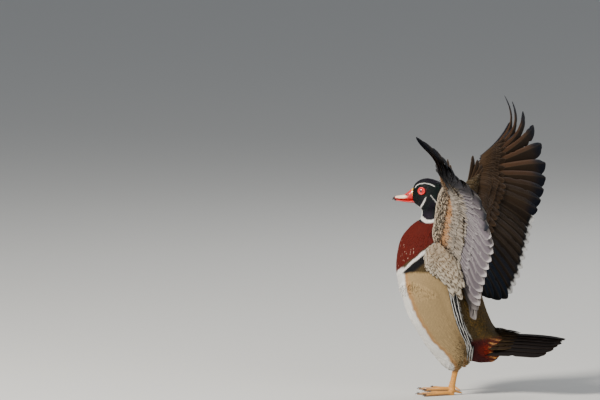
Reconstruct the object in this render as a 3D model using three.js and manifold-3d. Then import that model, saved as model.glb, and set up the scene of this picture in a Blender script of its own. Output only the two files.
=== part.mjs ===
// A life-size male wood duck, standing upright on both feet with its wings raised and spread.
// Millimetres, +Z up. The bird faces -X, its left side is -Y, and the soles rest on Z = 0.

import * as THREE from "three";
import { mergeVertices } from "three/addons/utils/BufferGeometryUtils.js";
import Module from "manifold-3d";

const wasm = await Module();
wasm.setup();
const { Manifold, Mesh: SolidMesh } = wasm;

// Driving sizes of the bird
const GAP = 0.3; // clearance kept between neighbouring pieces
const HUMERUS = 66;
const FOREARM = 61;
const HAND = 57;
const SHOULDER = new THREE.Vector3(-8, 32, 215); // right shoulder joint
const EYE = { x: -37.4, y: 13.4, z: 288.4, radius: 5.8, lid: 5.2 }; // eyeball and the ring of its lids

const COLOURS = {
  black: 0x14161c,
  maroon: 0x5a1a14,
  tan: 0xb99566,
  brown: 0x4a382c,
  tail: 0x1d1916,
  red: 0xd02a22,
  iris: 0xc4161c,
  leg: 0xe08a2a,
};

// Small vector helpers
const vec = (x, y, z) => new THREE.Vector3(x, y, z);
const along = (point, direction, amount) => point.clone().addScaledVector(direction, amount);
const mix = (a, b, t) => a + (b - a) * t;
const mixVec = (a, b, t) => a.clone().lerp(b, t);
const smooth = (t) => t * t * (3 - 2 * t);

// Rows of numbers, read at any place in between on a smooth curve through them
function readRows(rows, t) {
  const last = rows.length - 1;
  const place = Math.min(Math.max(t, 0), 1) * last;
  const i = Math.min(Math.floor(place), last - 1);
  const f = place - i;
  const pick = (k) => rows[Math.min(Math.max(k, 0), last)];
  return rows[i].map((_, c) => {
    const [a, b, d, e] = [pick(i - 1)[c], pick(i)[c], pick(i + 1)[c], pick(i + 2)[c]];
    const [linear, square, cube] = [d - a, 2 * a - 5 * b + 4 * d - e, 3 * b - a - 3 * d + e];
    return 0.5 * (2 * b + f * (linear + f * (square + f * cube)));
  });
}

// A closed surface through rings of points, with a fan over each end
function loft(rings) {
  const count = rings[0].length;
  const points = rings.flat();
  const centre = (ring) => ring.reduce((sum, p) => sum.add(p), vec(0, 0, 0)).divideScalar(count);
  points.push(centre(rings[0]), centre(rings[rings.length - 1]));
  const first = points.length - 2;
  const faces = [];
  for (let i = 0; i < rings.length - 1; i++) {
    for (let j = 0; j < count; j++) {
      const k = (j + 1) % count;
      const [a, b, c, d] = [i * count + j, i * count + k, (i + 1) * count + k, (i + 1) * count + j];
      faces.push(a, b, c, a, c, d);
    }
  }
  const end = (rings.length - 1) * count;
  for (let j = 0; j < count; j++) {
    const k = (j + 1) % count;
    faces.push(first, k, j, first + 1, end + j, end + k);
  }
  return solidFrom(points, faces);
}

// A thin closed sheet over a grid of points, with the same diagonals on both faces
function sheet(grid, normals, half) {
  const rows = grid.length;
  const columns = grid[0].length;
  const points = [];
  for (const side of [1, -1]) {
    grid.forEach((row, i) => row.forEach((p, j) => points.push(along(p, normals[i][j], side * half(i, j)))));
  }
  const under = rows * columns;
  const at = (i, j) => i * columns + j;
  const faces = [];
  for (let i = 0; i < rows - 1; i++) {
    for (let j = 0; j < columns - 1; j++) {
      const [a, b, c, d] = [at(i, j), at(i + 1, j), at(i + 1, j + 1), at(i, j + 1)];
      faces.push(a, b, c, a, c, d, under + a, under + c, under + b, under + a, under + d, under + c);
    }
  }
  const rim = [];
  for (let i = 0; i < rows - 1; i++) rim.push(at(i, 0));
  for (let j = 0; j < columns - 1; j++) rim.push(at(rows - 1, j));
  for (let i = rows - 1; i > 0; i--) rim.push(at(i, columns - 1));
  for (let j = columns - 1; j > 0; j--) rim.push(at(0, j));
  rim.forEach((a, k) => {
    const b = rim[(k + 1) % rim.length];
    faces.push(a, under + a, under + b, a, under + b, b);
  });
  return solidFrom(points, faces);
}

// Points and triangles as a solid that faces out
function solidFrom(points, faces) {
  const geometry = new THREE.BufferGeometry();
  const numbers = points.flatMap((p) => [p.x, p.y, p.z]);
  geometry.setAttribute("position", new THREE.Float32BufferAttribute(numbers, 3));
  geometry.setIndex(faces);
  return solidOf(geometry);
}

function solidOf(geometry) {
  geometry.deleteAttribute("normal");
  geometry.deleteAttribute("uv");
  const merged = mergeVertices(geometry, 1e-4);
  const build = (triVerts) => new Manifold(new SolidMesh({
    numProp: 3,
    vertProperties: new Float32Array(merged.attributes.position.array),
    triVerts,
  }));
  const triangles = new Uint32Array(merged.index.array);
  const solid = build(triangles);
  if (solid.volume() > 0) return solid;
  for (let i = 0; i < triangles.length; i += 3) {
    [triangles[i + 1], triangles[i + 2]] = [triangles[i + 2], triangles[i + 1]];
  }
  return build(triangles);
}

const join = (solids) => solids.reduce((sum, s) => sum.add(s));
const largest = (solid) => solid.decompose().reduce((a, b) => (b.volume() > a.volume() ? b : a));

function meshOf(name, solid, colour, roughness = 0.7) {
  const made = largest(solid).getMesh();
  const geometry = new THREE.BufferGeometry();
  geometry.setAttribute("position", new THREE.BufferAttribute(new Float32Array(made.vertProperties), 3));
  geometry.setIndex(new THREE.BufferAttribute(new Uint32Array(made.triVerts), 1));
  geometry.computeVertexNormals();
  const material = new THREE.MeshStandardMaterial({ color: colour, roughness, metalness: 0 });
  const mesh = new THREE.Mesh(geometry, material);
  mesh.name = name;
  return mesh;
}

// A half-space on the side of the plane that its normal points to
function halfSpace(point, normal, size = 2000) {
  const box = new THREE.BoxGeometry(size, size, size);
  box.translate(0, 0, size / 2);
  box.applyQuaternion(new THREE.Quaternion().setFromUnitVectors(vec(0, 0, 1), normal.clone().normalize()));
  box.translate(point.x, point.y, point.z);
  return solidOf(box);
}

// A ring of a body section: from a front point to a back point in the midline plane, and a half width
function bodyRing([frontX, frontZ, backX, backZ, halfWidth, widest, squareness], count, grow = 0) {
  const front = vec(frontX, 0, frontZ);
  const back = vec(backX, 0, backZ);
  const depth = front.distanceTo(back);
  const axis = back.clone().sub(front).divideScalar(depth);
  const middle = along(front, axis, depth * widest);
  const ring = [];
  for (let j = 0; j < count; j++) {
    const angle = (2 * Math.PI * j) / count;
    const [c, s] = [Math.cos(angle), Math.sin(angle)];
    const reach = (c > 0 ? (1 - widest) * depth : widest * depth) + grow;
    const lift = Math.sign(c) * Math.abs(c) ** squareness * reach;
    const aside = Math.sign(s) * Math.abs(s) ** squareness * (halfWidth + grow);
    ring.push(along(middle, axis, lift).add(vec(0, aside, 0)));
  }
  return ring;
}

function bodyLoft(rows, rings, count, grow = 0) {
  const made = [];
  for (let i = 0; i < rings; i++) made.push(bodyRing(readRows(rows, i / (rings - 1)), count, grow));
  return loft(made);
}

// Front x, front z, back x, back z, half width, where it is widest, squareness of the section
const TRUNK_ROWS = [
  [-40.5, 259, -3, 268, 19, 0.5, 0.95],
  [-43, 249, -2, 258, 20.5, 0.5, 0.95],
  [-57, 238, 4, 242, 29, 0.52, 0.95],
  [-70, 222, 13, 226, 40, 0.52, 0.92],
  [-76, 202, 23, 207, 48, 0.52, 0.9],
  [-78, 179, 32, 186, 52, 0.52, 0.88],
  [-75, 156, 38, 166, 54, 0.52, 0.88],
  [-68, 134, 43, 147, 54, 0.52, 0.88],
  [-58, 114, 48, 129, 53, 0.53, 0.88],
  [-44, 94, 54, 113, 50, 0.55, 0.9],
  [-28, 76, 60, 101, 45, 0.56, 0.92],
  [-8, 61, 68, 93, 38, 0.56, 0.95],
  [14, 50, 77, 89, 31, 0.55, 0.95],
  [36, 45, 84, 87, 25, 0.55, 0.95],
  [56, 45, 91, 84, 19, 0.55, 0.95],
];

// Bottom x and z, top x and z of each section from the bill's base to the nape
const HEAD_ROWS = [
  [-53.5, 271.5, -53.5, 291, 8.5, 0.5, 0.95],
  [-50, 268.3, -50.5, 298, 13, 0.55, 0.92],
  [-43, 262.5, -44, 303.5, 16.5, 0.5, 0.9],
  [-34, 253, -35, 306, 19, 0.48, 0.88],
  [-25, 248, -25, 304.8, 20.5, 0.45, 0.9],
  [-15, 250, -15, 301, 19.5, 0.45, 0.92],
  [-6.5, 256, -7, 294, 16, 0.5, 0.95],
  [-0.5, 264, -1, 284, 10, 0.5, 1],
];

const NECK_CUT = { point: vec(-24, 0, 247.5), normal: vec(-0.16, 0, 0.98) };
const BREAST_CUT = { point: vec(-24, 0, 238.5), normal: vec(-0.1, 0, 0.99) };
const TAIL_CUT = { point: vec(52, 0, 72), normal: vec(0.98, 0, -0.2) };
const BILL_CUT = { point: vec(-52.5, 0, 281), normal: vec(0.97, 0, 0.24) };

// The solid on one side of a cut, or with flip on the other, kept half a gap clear of it
function sideOf(cut, flip = false) {
  const normal = cut.normal.clone().normalize().multiplyScalar(flip ? -1 : 1);
  return halfSpace(along(cut.point, normal, GAP / 2), normal);
}

const trunk = (grow = 0) => bodyLoft(TRUNK_ROWS, 22, 22, grow);

// The loose flank feathers hang over the thigh as one rounded lobe on each side
// Centre x, y, z, half breadth, half thickness
const FLANK_ROWS = [
  [-47, 38, 176, 8, 5],
  [-42, 42, 165, 24, 11],
  [-32, 44, 148, 31, 14.5],
  [-23, 43.5, 126, 33, 15.5],
  [-13, 41.5, 104, 31.5, 15.5],
  [-4, 38, 82, 28, 14.5],
  [4, 34, 62, 22, 12.5],
  [9, 31, 47, 15, 10],
  [11, 29.5, 38, 6, 5],
];

function flankLobe(side, grow = 0) {
  const across = vec(0.95, 0, 0.31);
  const rings = [];
  for (let i = 0; i < 13; i++) {
    const [x, y, z, breadth, thickness] = readRows(FLANK_ROWS, i / 12);
    const ring = [];
    for (let j = 0; j < 14; j++) {
      const angle = (2 * Math.PI * j) / 14;
      const centre = along(vec(x, side * y, z), across, Math.cos(angle) * (breadth + grow));
      ring.push(centre.add(vec(0, Math.sin(angle) * (thickness + grow), 0)));
    }
    rings.push(ring);
  }
  return loft(rings);
}

function sphere(radius, centre, segments = 14) {
  const ball = new THREE.SphereGeometry(radius, segments, segments / 2);
  ball.translate(centre.x, centre.y, centre.z);
  return solidOf(ball);
}

const bodyWhole = (grow = 0) => join([trunk(grow), flankLobe(1, grow), flankLobe(-1, grow)]);

function makeTorso() {
  const body = bodyWhole();
  return body.intersect(sideOf(BREAST_CUT, true)).intersect(sideOf(TAIL_CUT, true));
}

function makeNeck() {
  return trunk().intersect(sideOf(BREAST_CUT)).intersect(sideOf(NECK_CUT, true));
}

const SIDES = { left: -1, right: 1 };
const eyeCentre = (side) => vec(EYE.x, side * EYE.y, EYE.z);

function eyelid(side) {
  const rim = new THREE.TorusGeometry(EYE.lid, 0.9, 5, 14);
  rim.rotateX(Math.PI / 2);
  rim.translate(EYE.x, side * (EYE.y + 4), EYE.z);
  return solidOf(rim);
}

function makeHead() {
  const skull = bodyLoft(HEAD_ROWS, 13, 20);
  const throat = trunk().intersect(sideOf(NECK_CUT));
  let head = join([skull, throat, eyelid(1), eyelid(-1), ...CREST_ROWS.map(crestVane)]);
  for (const side of Object.values(SIDES)) head = head.subtract(sphere(EYE.radius + GAP, eyeCentre(side)));
  return head.intersect(sideOf(NECK_CUT)).intersect(sideOf(BILL_CUT));
}

// The crest, vane by vane: each lies along the crown and droops free behind the nape
// Sideways place on the crown, how far back it starts, length, and height above the crown
const CREST_ROWS = [
  [0, -12, 46, 2.4],
  [-5.5, -13, 44, 1.4],
  [5.5, -13, 44, 1.4],
  [-10, -11, 40, 0.6],
  [10, -11, 40, 0.6],
  [-3, -22, 40, 3.6],
  [3, -22, 40, 3.6],
  [-13.5, -9, 32, -0.4],
  [13.5, -9, 32, -0.4],
];

function crestVane([aside, start, length, height]) {
  const rows = [];
  const normals = [];
  for (const u of [0, 0.35, 0.7, 1]) {
    const run = length * u;
    const x = start + 0.74 * run - 0.0065 * run * run;
    const droop = 0.12 * run + 0.0155 * run * run;
    const z = 300.5 + height - 0.12 * Math.abs(start + 16) - 0.045 * aside * aside - droop;
    const width = 4.6 * roundEnd(u) + 0.3;
    const normal = vec(0.12 + 0.031 * run, 0.06 * aside, 0.74).normalize();
    const y = aside * (1 - 0.25 * u);
    rows.push([vec(x, y + width, z), along(vec(x, y, z), normal, 0.5), vec(x, y - width, z)]);
    normals.push([normal, normal, normal]);
  }
  return sheet(rows, normals, (i) => 0.55 - 0.05 * i);
}

// The bill: rings of a height, a half width and a droop from its base to the nail
// Distance along the bill, top z, bottom z, half width
const UPPER_BILL_ROWS = [
  [-48, 292.5, 275, 8.6],
  [-54, 291.2, 274.3, 8.2],
  [-60, 286.4, 273.8, 7.6],
  [-66, 282.3, 274.2, 7],
  [-72, 281, 274.8, 6.6],
  [-78, 280, 275, 6.2],
  [-81.5, 278.2, 274.2, 4.6],
  [-83.2, 276.2, 273.2, 2.2],
];
const LOWER_BILL_ROWS = [
  [-48, 274.4, 270.3, 7.2],
  [-56, 273.4, 270, 6.6],
  [-64, 273.3, 270.8, 5.8],
  [-72, 273.9, 271.8, 5],
  [-78, 274, 272.4, 3.8],
  [-80.5, 273.6, 272.8, 1.6],
];

function billSolid(rows, squareness) {
  const rings = [];
  for (let i = 0; i < 10; i++) {
    const [x, top, bottom, halfWidth] = readRows(rows, i / 9);
    const ring = [];
    for (let j = 0; j < 14; j++) {
      const angle = (2 * Math.PI * j) / 14;
      const [c, s] = [Math.cos(angle), Math.sin(angle)];
      const y = Math.sign(s) * Math.abs(s) ** squareness * halfWidth;
      ring.push(vec(x, y, (top + bottom) / 2 + (c * (top - bottom)) / 2));
    }
    rings.push(ring);
  }
  return loft(rings);
}

const makeLowerBill = () => billSolid(LOWER_BILL_ROWS, 0.9).intersect(sideOf(BILL_CUT, true));
const NOSTRIL = { x: -59.5, y: 6.8, z: 283.2, halfLength: 2.6, halfHeight: 1.2, depth: 2 };

function nostril(side) {
  const pit = new THREE.SphereGeometry(1, 8, 5);
  pit.scale(NOSTRIL.halfLength, NOSTRIL.depth, NOSTRIL.halfHeight);
  pit.translate(NOSTRIL.x, side * NOSTRIL.y, NOSTRIL.z);
  return solidOf(pit);
}

function makeUpperBill() {
  const bill = billSolid(UPPER_BILL_ROWS, 0.9).intersect(sideOf(BILL_CUT, true));
  return bill.subtract(nostril(-1)).subtract(nostril(1));
}

// Each wing's pose: the directions of its bones and of the chord across it, as back, outwards and up,
// and for the leading primaries their bow up and back, their twist on the shaft and how far they narrow
const WING_POSES = {
  left: {
    humerus: vec(0.215, 0.685, 0.696),
    forearm: vec(0.214, 0.684, 0.697),
    hand: vec(0, 0.924, 0.384),
    chord: vec(0.705, 0.44, -0.554),
    handChord: vec(0.705, 0.44, -0.554),
    fan: 0,
    bow: 6,
    sweep: 12,
    twist: 33,
    drawn: 0.35,
  },
  right: {
    humerus: vec(0.178, 0.85, 0.497),
    forearm: vec(0.03, 0.775, 0.632),
    hand: vec(0.1, 0.829, 0.543),
    chord: vec(0.705, 0.44, -0.554),
    handChord: vec(0.635, 0.368, -0.679),
    fan: 2,
    bow: 10,
    sweep: 20,
    twist: 0,
    drawn: 1,
  },
};

// Flight feathers from the innermost tertial out to the leading primary: where each sits on the bones
// (-1 shoulder, 0 elbow, 1 wrist, 2 finger tip), its length, then for each wing its angle outwards
// from the chord and its lift above the wing's plane, and last the widths of its outer and inner webs
const FLIGHT_ROWS = [
  [-0.92, 100, -34, -5, -25, 2, 9, 12],
  [-0.47, 126, -35, -4, -22, 0, 11, 14],
  [-0.05, 121, -31, -3, -18, 2, 10.5, 14],
  [0.38, 113, -21, -1, -10, 4, 9.5, 13.5],
  [0.78, 111, -4, -1, 0, 3, 9, 13.5],
  [1.04, 113, 21, -7, 14.5, 9, 8.5, 13.5],
  [1.36, 130, 58, 0, 41.5, 10, 7.5, 13.5],
  [1.68, 155, 79, 2, 72.5, 5, 6, 12],
  [2, 156, 93, -1, 91, -2, 4, 10],
];
const ARM_FEATHERS = 11;
const PRIMARIES = 10;
const FIRST_PRIMARY = 14 / 23; // its place in the rows
const SHINGLE = THREE.MathUtils.degToRad(12); // tilt that lays each feather's outer web over its neighbour

function wingFrame(name) {
  const side = SIDES[name];
  const pose = WING_POSES[name];
  const turn = (v) => vec(v.x, side * v.y, v.z).normalize();
  const shoulder = vec(SHOULDER.x, side * SHOULDER.y, SHOULDER.z);
  const bones = [turn(pose.humerus), turn(pose.forearm), turn(pose.hand)];
  const elbow = along(shoulder, bones[0], HUMERUS);
  const wrist = along(elbow, bones[1], FOREARM);
  const finger = along(wrist, bones[2], HAND);
  const clamp = (t) => Math.min(Math.max(t, 0), 1);
  // Local axes at a place on the bones: outwards, back to the trailing edge, and up from the wing's back
  const axes = (place) => {
    const bone = place < 1 ? mixVec(bones[0], bones[1], smooth(clamp((place + 1) / 2)))
      : mixVec(bones[1], bones[2], smooth(clamp((place - 1) * 2)));
    const out = bone.normalize();
    const chord = mixVec(turn(pose.chord), turn(pose.handChord), smooth(clamp(place - 0.5)));
    const back = along(chord, out, -chord.dot(out)).normalize();
    const up = back.clone().cross(out).multiplyScalar(side);
    return { out, back, up };
  };
  const bonePoint = (place) => {
    if (place < 0) return mixVec(elbow, shoulder, -place);
    return place < 1 ? mixVec(elbow, wrist, place) : mixVec(wrist, finger, place - 1);
  };
  return { side, pose, axes, bonePoint };
}

// A feather that grows from the bones at a place, lifted from the wing's plane and bowed to the tip
function wingFeather(frame, place, length, angle, lift, bow) {
  const { out, back, up } = frame.axes(place);
  const [turn, rise] = [angle, lift].map(THREE.MathUtils.degToRad);
  const flat = back.clone().multiplyScalar(Math.cos(turn)).addScaledVector(out, Math.sin(turn));
  const direction = flat.clone().multiplyScalar(Math.cos(rise)).addScaledVector(up, Math.sin(rise));
  const normal = along(up.multiplyScalar(Math.cos(rise)), flat, -Math.sin(rise));
  const aside = back.multiplyScalar(-Math.sin(turn)).addScaledVector(out, Math.cos(turn));
  return { root: frame.bonePoint(place), place, length, direction, normal, aside, bow, sweep: 0 };
}

// leading runs from 0 on the inner wing to 1 at the leading primary
function flightFeather(frame, k) {
  const onArm = (k / ARM_FEATHERS) * FIRST_PRIMARY;
  const t = k < ARM_FEATHERS ? onArm : mix(FIRST_PRIMARY, 1, (k - ARM_FEATHERS) / (PRIMARIES - 1));
  const row = readRows(FLIGHT_ROWS, t);
  const leading = smooth(Math.max(0, (k - ARM_FEATHERS - 4) / (PRIMARIES - 5)));
  const { fan, sweep, twist, drawn } = frame.pose;
  const bow = mix(6, frame.pose.bow, leading);
  const feather = wingFeather(frame, row[0], row[1], row[2 + fan], row[3 + fan], bow);
  const tilt = SHINGLE + THREE.MathUtils.degToRad(twist * leading);
  const [outer, inner] = [row[6], row[7]];
  return { ...feather, sweep: sweep * leading, tilt, drawn: drawn * leading, outer, inner };
}

// The shaft's middle line, which bows up, and on the outer primaries back, between root and tip
function shaftPoint(feather, t) {
  const rise = 2.6 * (t - t ** 3);
  const point = along(feather.root, feather.direction, feather.length * t);
  return along(along(point, feather.normal, feather.bow * rise), feather.aside, -feather.sweep * rise);
}

const HALF_VANE = 0.36;

// A feather's vane between two places on its shaft, as a thin closed sheet.
// widths(u) gives the outer and inner web, offset(u) the height above the shaft's line, u from 0 to 1
function vane(feather, { from, to, stations, widths, offset = () => 0, tilt = SHINGLE }) {
  const rows = [];
  const normals = [];
  for (const u of stations) {
    const t = mix(from, to, u);
    const slope = (2.6 * (1 - 3 * t * t)) / feather.length;
    const normal = along(feather.normal, feather.direction, -slope * feather.bow).normalize();
    const aside = along(feather.aside, feather.direction, slope * feather.sweep).normalize();
    const centre = along(shaftPoint(feather, t), normal, offset(u));
    const web = aside.clone().multiplyScalar(Math.cos(tilt)).addScaledVector(normal, Math.sin(tilt));
    const face = normal.clone().multiplyScalar(Math.cos(tilt)).addScaledVector(aside, -Math.sin(tilt));
    const [outer, inner] = widths(u);
    rows.push([along(centre, web, outer), along(centre, web, -inner)]);
    normals.push([face, face]);
  }
  return sheet(rows, normals, (i) => HALF_VANE * (1 - 0.3 * stations[i]));
}

// Rounded ends keep their width to the last part, and drawn-out ends narrow from half way
const roundEnd = (u) => Math.sqrt(Math.max(0.16, 1 - Math.max(0, (u - 0.7) / 0.3) ** 2.4));
const drawnEnd = (u) => mix(1, 0.38, smooth(Math.min(1, Math.max(0, (u - 0.35) / 0.4)))) * roundEnd(u);

function flightVane(feather) {
  const end = (u) => mix(roundEnd(u), drawnEnd(u), feather.drawn);
  const base = (u) => mix(0.6, 1, Math.min(1, u * 3));
  return vane(feather, {
    from: feather.place > 1 ? 0.02 : 0.1,
    to: 1,
    stations: [0, 0.3, 0.6, 0.86, 1],
    widths: (u) => [feather.outer * base(u) * end(u), feather.inner * base(u) * end(u)],
    tilt: feather.tilt,
  });
}

// Tiers of coverts over the flight feathers: how much of their length they cover, how wide they are,
// how high they lie (below the wing's plane where negative) and how many of the feathers have one
const COVERT_TIERS = [
  { reach: 0.43, width: 11, height: 3.6, every: 2, first: 0 },
  { reach: 0.27, width: 12, height: 5.9, every: 3, first: 1 },
  { reach: 0.46, width: 11, height: -4.2, every: 2, first: 1 },
];

function covertVane(feather, tier) {
  const sunk = Math.min(Math.abs(tier.height), 0.62 * armAt(feather.place)[2]) * Math.sign(tier.height);
  return vane(feather, {
    from: feather.place > 1 ? 0.02 : 0.09,
    to: tier.reach,
    stations: [0, 0.5, 1],
    widths: (u) => [tier.width * roundEnd(u) * 0.9, tier.width * roundEnd(u)],
    offset: (u) => mix(sunk, tier.height, Math.min(1, u * 1.6)),
  });
}

// The arm with its short coverts, a rounded leading edge and a thin trailing one:
// reach in front of the bones, reach behind them and half thickness, from the shoulder to the finger tip
const ARM_START = -0.98;
const ARM_END = 2.05;
const ARM_ROWS = [
  [20, 34, 13],
  [18, 40, 11],
  [18, 42, 9],
  [19, 40, 8],
  [17, 36, 7],
  [11, 32, 6],
  [7, 27, 4.8],
  [5, 22, 3.8],
  [2, 9, 1.8],
];
const armAt = (place) => readRows(ARM_ROWS, (place - ARM_START) / (ARM_END - ARM_START));

function armSolid(frame) {
  const rings = [];
  const [ringCount, pointCount] = [12, 10];
  for (let i = 0; i < ringCount; i++) {
    const place = mix(ARM_START, ARM_END, i / (ringCount - 1));
    const [front, behind, half] = armAt(place);
    const { back, up } = frame.axes(place);
    const bone = frame.bonePoint(place);
    const ring = [];
    for (let j = 0; j < pointCount; j++) {
      const angle = (2 * Math.PI * j) / pointCount;
      const [c, s] = [Math.cos(angle), Math.sin(angle)];
      const thin = c > 0 ? 1 - 0.75 * c : 1;
      ring.push(along(along(bone, back, c * (c > 0 ? behind : front)), up, s * half * thin));
    }
    rings.push(ring);
  }
  return loft(rings);
}

// The few stiff feathers of the thumb, on the leading edge just outside the wrist
const ALULA = { places: [1.02, 1.08, 1.14], angles: [99, 92, 85], lengths: [46, 40, 33], width: 4.5 };

function alulaVanes(frame) {
  return ALULA.places.map((place, i) => {
    const feather = wingFeather(frame, place, ALULA.lengths[i], ALULA.angles[i], 4, 2);
    feather.root = along(feather.root, frame.axes(place).back, -5 + 3 * i);
    const offset = () => 1.4 + 1.3 * i;
    const widths = (u) => [ALULA.width * roundEnd(u), ALULA.width * roundEnd(u)];
    return vane(feather, { from: 0, to: 1, stations: [0, 0.5, 0.85, 1], widths, offset });
  });
}

function makeWing(name) {
  const frame = wingFrame(name);
  const pieces = [armSolid(frame), ...alulaVanes(frame)];
  for (let k = 0; k < ARM_FEATHERS + PRIMARIES; k++) {
    const feather = flightFeather(frame, k);
    pieces.push(flightVane(feather));
    for (const tier of COVERT_TIERS) {
      if ((k - tier.first) % tier.every === 0) pieces.push(covertVane(feather, tier));
    }
  }
  return join(pieces).subtract(bodyWhole(GAP));
}

// The tail: broad feathers in a steep arch, the outer ones lower, shorter and turned down at the sides
const TAIL_FEATHERS = 12;
const TAIL_ROOT = { x: 46, halfWidth: 13, z: 85, drop: 21 };
const TAIL_TIP = { x: 165, halfWidth: 30, z: 81, drop: 18, shorter: 20 };

// s runs from -1 on the left to 1 on the right
function tailFeather(s, reach) {
  const square = s * s;
  const root = vec(TAIL_ROOT.x, s * TAIL_ROOT.halfWidth, TAIL_ROOT.z - TAIL_ROOT.drop * square);
  const tipX = TAIL_TIP.x - TAIL_TIP.shorter * square;
  const tip = vec(tipX, s * TAIL_TIP.halfWidth, TAIL_TIP.z - TAIL_TIP.drop * square);
  const direction = tip.clone().sub(root).normalize();
  const normal = vec(0, (1.9 * s * TAIL_ROOT.drop) / TAIL_TIP.halfWidth, 1);
  normal.addScaledVector(direction, -normal.dot(direction)).normalize();
  const aside = direction.clone().cross(normal).multiplyScalar(-1);
  return { root, direction, normal, aside, bow: 3, sweep: 0, length: root.distanceTo(tip) * reach };
}

function tailVane(s, { reach, width, height, from }) {
  const feather = tailFeather(s, reach);
  const centre = Math.abs(s) < 0.1;
  const tilt = centre ? 0 : 0.22 * Math.sign(s);
  const lift = centre ? 1.8 + 1.4 * Math.sign(s) : 0;
  return vane(feather, {
    from,
    to: 1,
    stations: [0, 0.45, 0.85, 1],
    widths: (u) => [width * roundEnd(u), width * roundEnd(u)],
    offset: () => height + lift,
    tilt,
  });
}

function makeTail() {
  const pieces = [trunk(), tailCone()];
  for (let i = 0; i < TAIL_FEATHERS; i++) {
    const s = mix(-1, 1, i / (TAIL_FEATHERS - 1));
    pieces.push(tailVane(s, { reach: 1, width: 10, height: 0, from: 0.1 }));
    if (i % 2 === 0) pieces.push(tailVane(s * 0.9, { reach: 0.42, width: 9, height: 4.4, from: 0.12 }));
    if (i % 2 === 1) pieces.push(tailVane(s * 0.8, { reach: 0.62, width: 9, height: -4.2, from: 0.1 }));
  }
  return join(pieces).intersect(sideOf(TAIL_CUT));
}

// The flesh that the tail feathers grow from
function tailCone() {
  const rings = [];
  for (let i = 0; i <= 5; i++) {
    const t = i / 5;
    const ring = [];
    for (let j = 0; j < 14; j++) {
      const angle = (2 * Math.PI * j) / 14;
      const [c, s] = [Math.cos(angle), Math.sin(angle)];
      const halfHeight = mix(17, 5, t);
      ring.push(vec(mix(44, 92, t), s * mix(20, 9, t), mix(73, 75, t) + c * halfHeight - 6 * s * s));
    }
    rings.push(ring);
  }
  return loft(rings);
}

// Legs: a shank from the flank down to a flat webbed foot
const FEET = {
  left: { ankle: vec(8, -25, 8), hock: vec(14, -27, 41), turn: -8 },
  right: { ankle: vec(-2, 25, 8), hock: vec(4, 27, 41), turn: 8 },
};
const TOES = [
  { angle: -34, length: 41 },
  { angle: 0, length: 50 },
  { angle: 32, length: 46 },
];
const SOLE_Z = 0;

function tube(points, radii, count = 8, flat = 1) {
  const rings = points.map((p, i) => {
    const before = points[Math.max(i - 1, 0)];
    const after = points[Math.min(i + 1, points.length - 1)];
    const tangent = after.clone().sub(before).normalize();
    const aside = vec(0, 1, 0).addScaledVector(tangent, -tangent.y).normalize();
    const other = tangent.clone().cross(aside);
    const ring = [];
    for (let j = 0; j < count; j++) {
      const angle = (2 * Math.PI * j) / count;
      ring.push(along(along(p, aside, Math.cos(angle) * radii[i] * flat), other, Math.sin(angle) * radii[i]));
    }
    return ring;
  });
  return loft(rings);
}

function toeDirection(angle) {
  const a = THREE.MathUtils.degToRad(angle);
  return vec(-Math.cos(a), Math.sin(a), 0);
}

// A toe lies on the floor: half round on top, flat below, with a claw that stays just above it
function toeSolid(ankle, angle, length) {
  const direction = toeDirection(angle);
  const aside = vec(-direction.y, direction.x, 0);
  const rows = [[-0.04, 3.4, 7], [0.2, 3, 5.4], [0.5, 2.5, 4.2], [0.85, 2.1, 3.6], [1, 0.7, 1.6]];
  const rings = rows.map(([t, half, height]) => {
    const centre = vec(ankle.x, ankle.y, SOLE_Z).addScaledVector(direction, length * t);
    return [[-1, 0], [-1, 0.45], [-0.6, 0.85], [0, 1], [0.6, 0.85], [1, 0.45], [1, 0]].map(([s, h]) =>
      along(along(centre, aside, s * half), vec(0, 0, 1), h * height));
  });
  return loft(rings);
}

function webSolid(ankle, turn) {
  const rows = [];
  const normals = [];
  const [inner, middle, outer] = TOES;
  for (let i = 0; i <= 6; i++) {
    const t = i / 6;
    const [a, b] = t < 0.5 ? [inner, middle] : [middle, outer];
    const f = t < 0.5 ? t * 2 : t * 2 - 1;
    const notch = 1 - 0.26 * Math.sin(Math.PI * f);
    const direction = toeDirection(mix(a.angle, b.angle, f) + turn);
    const reach = mix(a.length, b.length, f) * 0.84 * notch;
    const middlePoint = vec(ankle.x, ankle.y, SOLE_Z + 0.7);
    rows.push([0.08, 0.4, 0.7, 1].map((u) => along(middlePoint, direction, reach * u)));
    normals.push([0, 0, 0, 0].map(() => vec(0, 0, 1)));
  }
  return sheet(rows, normals, () => 0.7);
}

function makeFoot(name) {
  const { ankle, turn } = FEET[name];
  const pieces = TOES.map(({ angle, length }) => toeSolid(ankle, SIDES[name] * angle + turn, length));
  pieces.push(webSolid(ankle, turn));
  const back = toeDirection(180 + turn + SIDES[name] * 20);
  const steps = [[7, 0], [4.5, 8], [2.2, 15]];
  const hallux = steps.map(([z, reach]) => along(vec(ankle.x, ankle.y, z), back, reach));
  pieces.push(tube(hallux, [2.4, 1.9, 0.8]));
  const knuckle = sphere(5, vec(ankle.x, ankle.y, 6.5), 12);
  pieces.push(knuckle);
  return join(pieces).intersect(halfSpace(vec(0, 0, SOLE_Z), vec(0, 0, 1)));
}

function makeLeg(name) {
  const { ankle, hock } = FEET[name];
  const foot = makeFoot(name);
  const path = [0, 0.2, 0.5, 0.8, 1, 1.25].map((t) => mixVec(ankle, hock, t));
  const shank = tube(path, [4.4, 3.6, 3.5, 4.2, 5.6, 7], 9, 0.8);
  const clearance = sphere(5 + GAP, vec(ankle.x, ankle.y, 6.5), 12);
  const clear = shank.subtract(bodyWhole(GAP)).subtract(clearance);
  return { leg: largest(clear.intersect(halfSpace(vec(0, 0, 8.4), vec(0, 0, 1)))), foot };
}

const group = new THREE.Group();
const bird = new THREE.Group();
group.add(bird);

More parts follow.
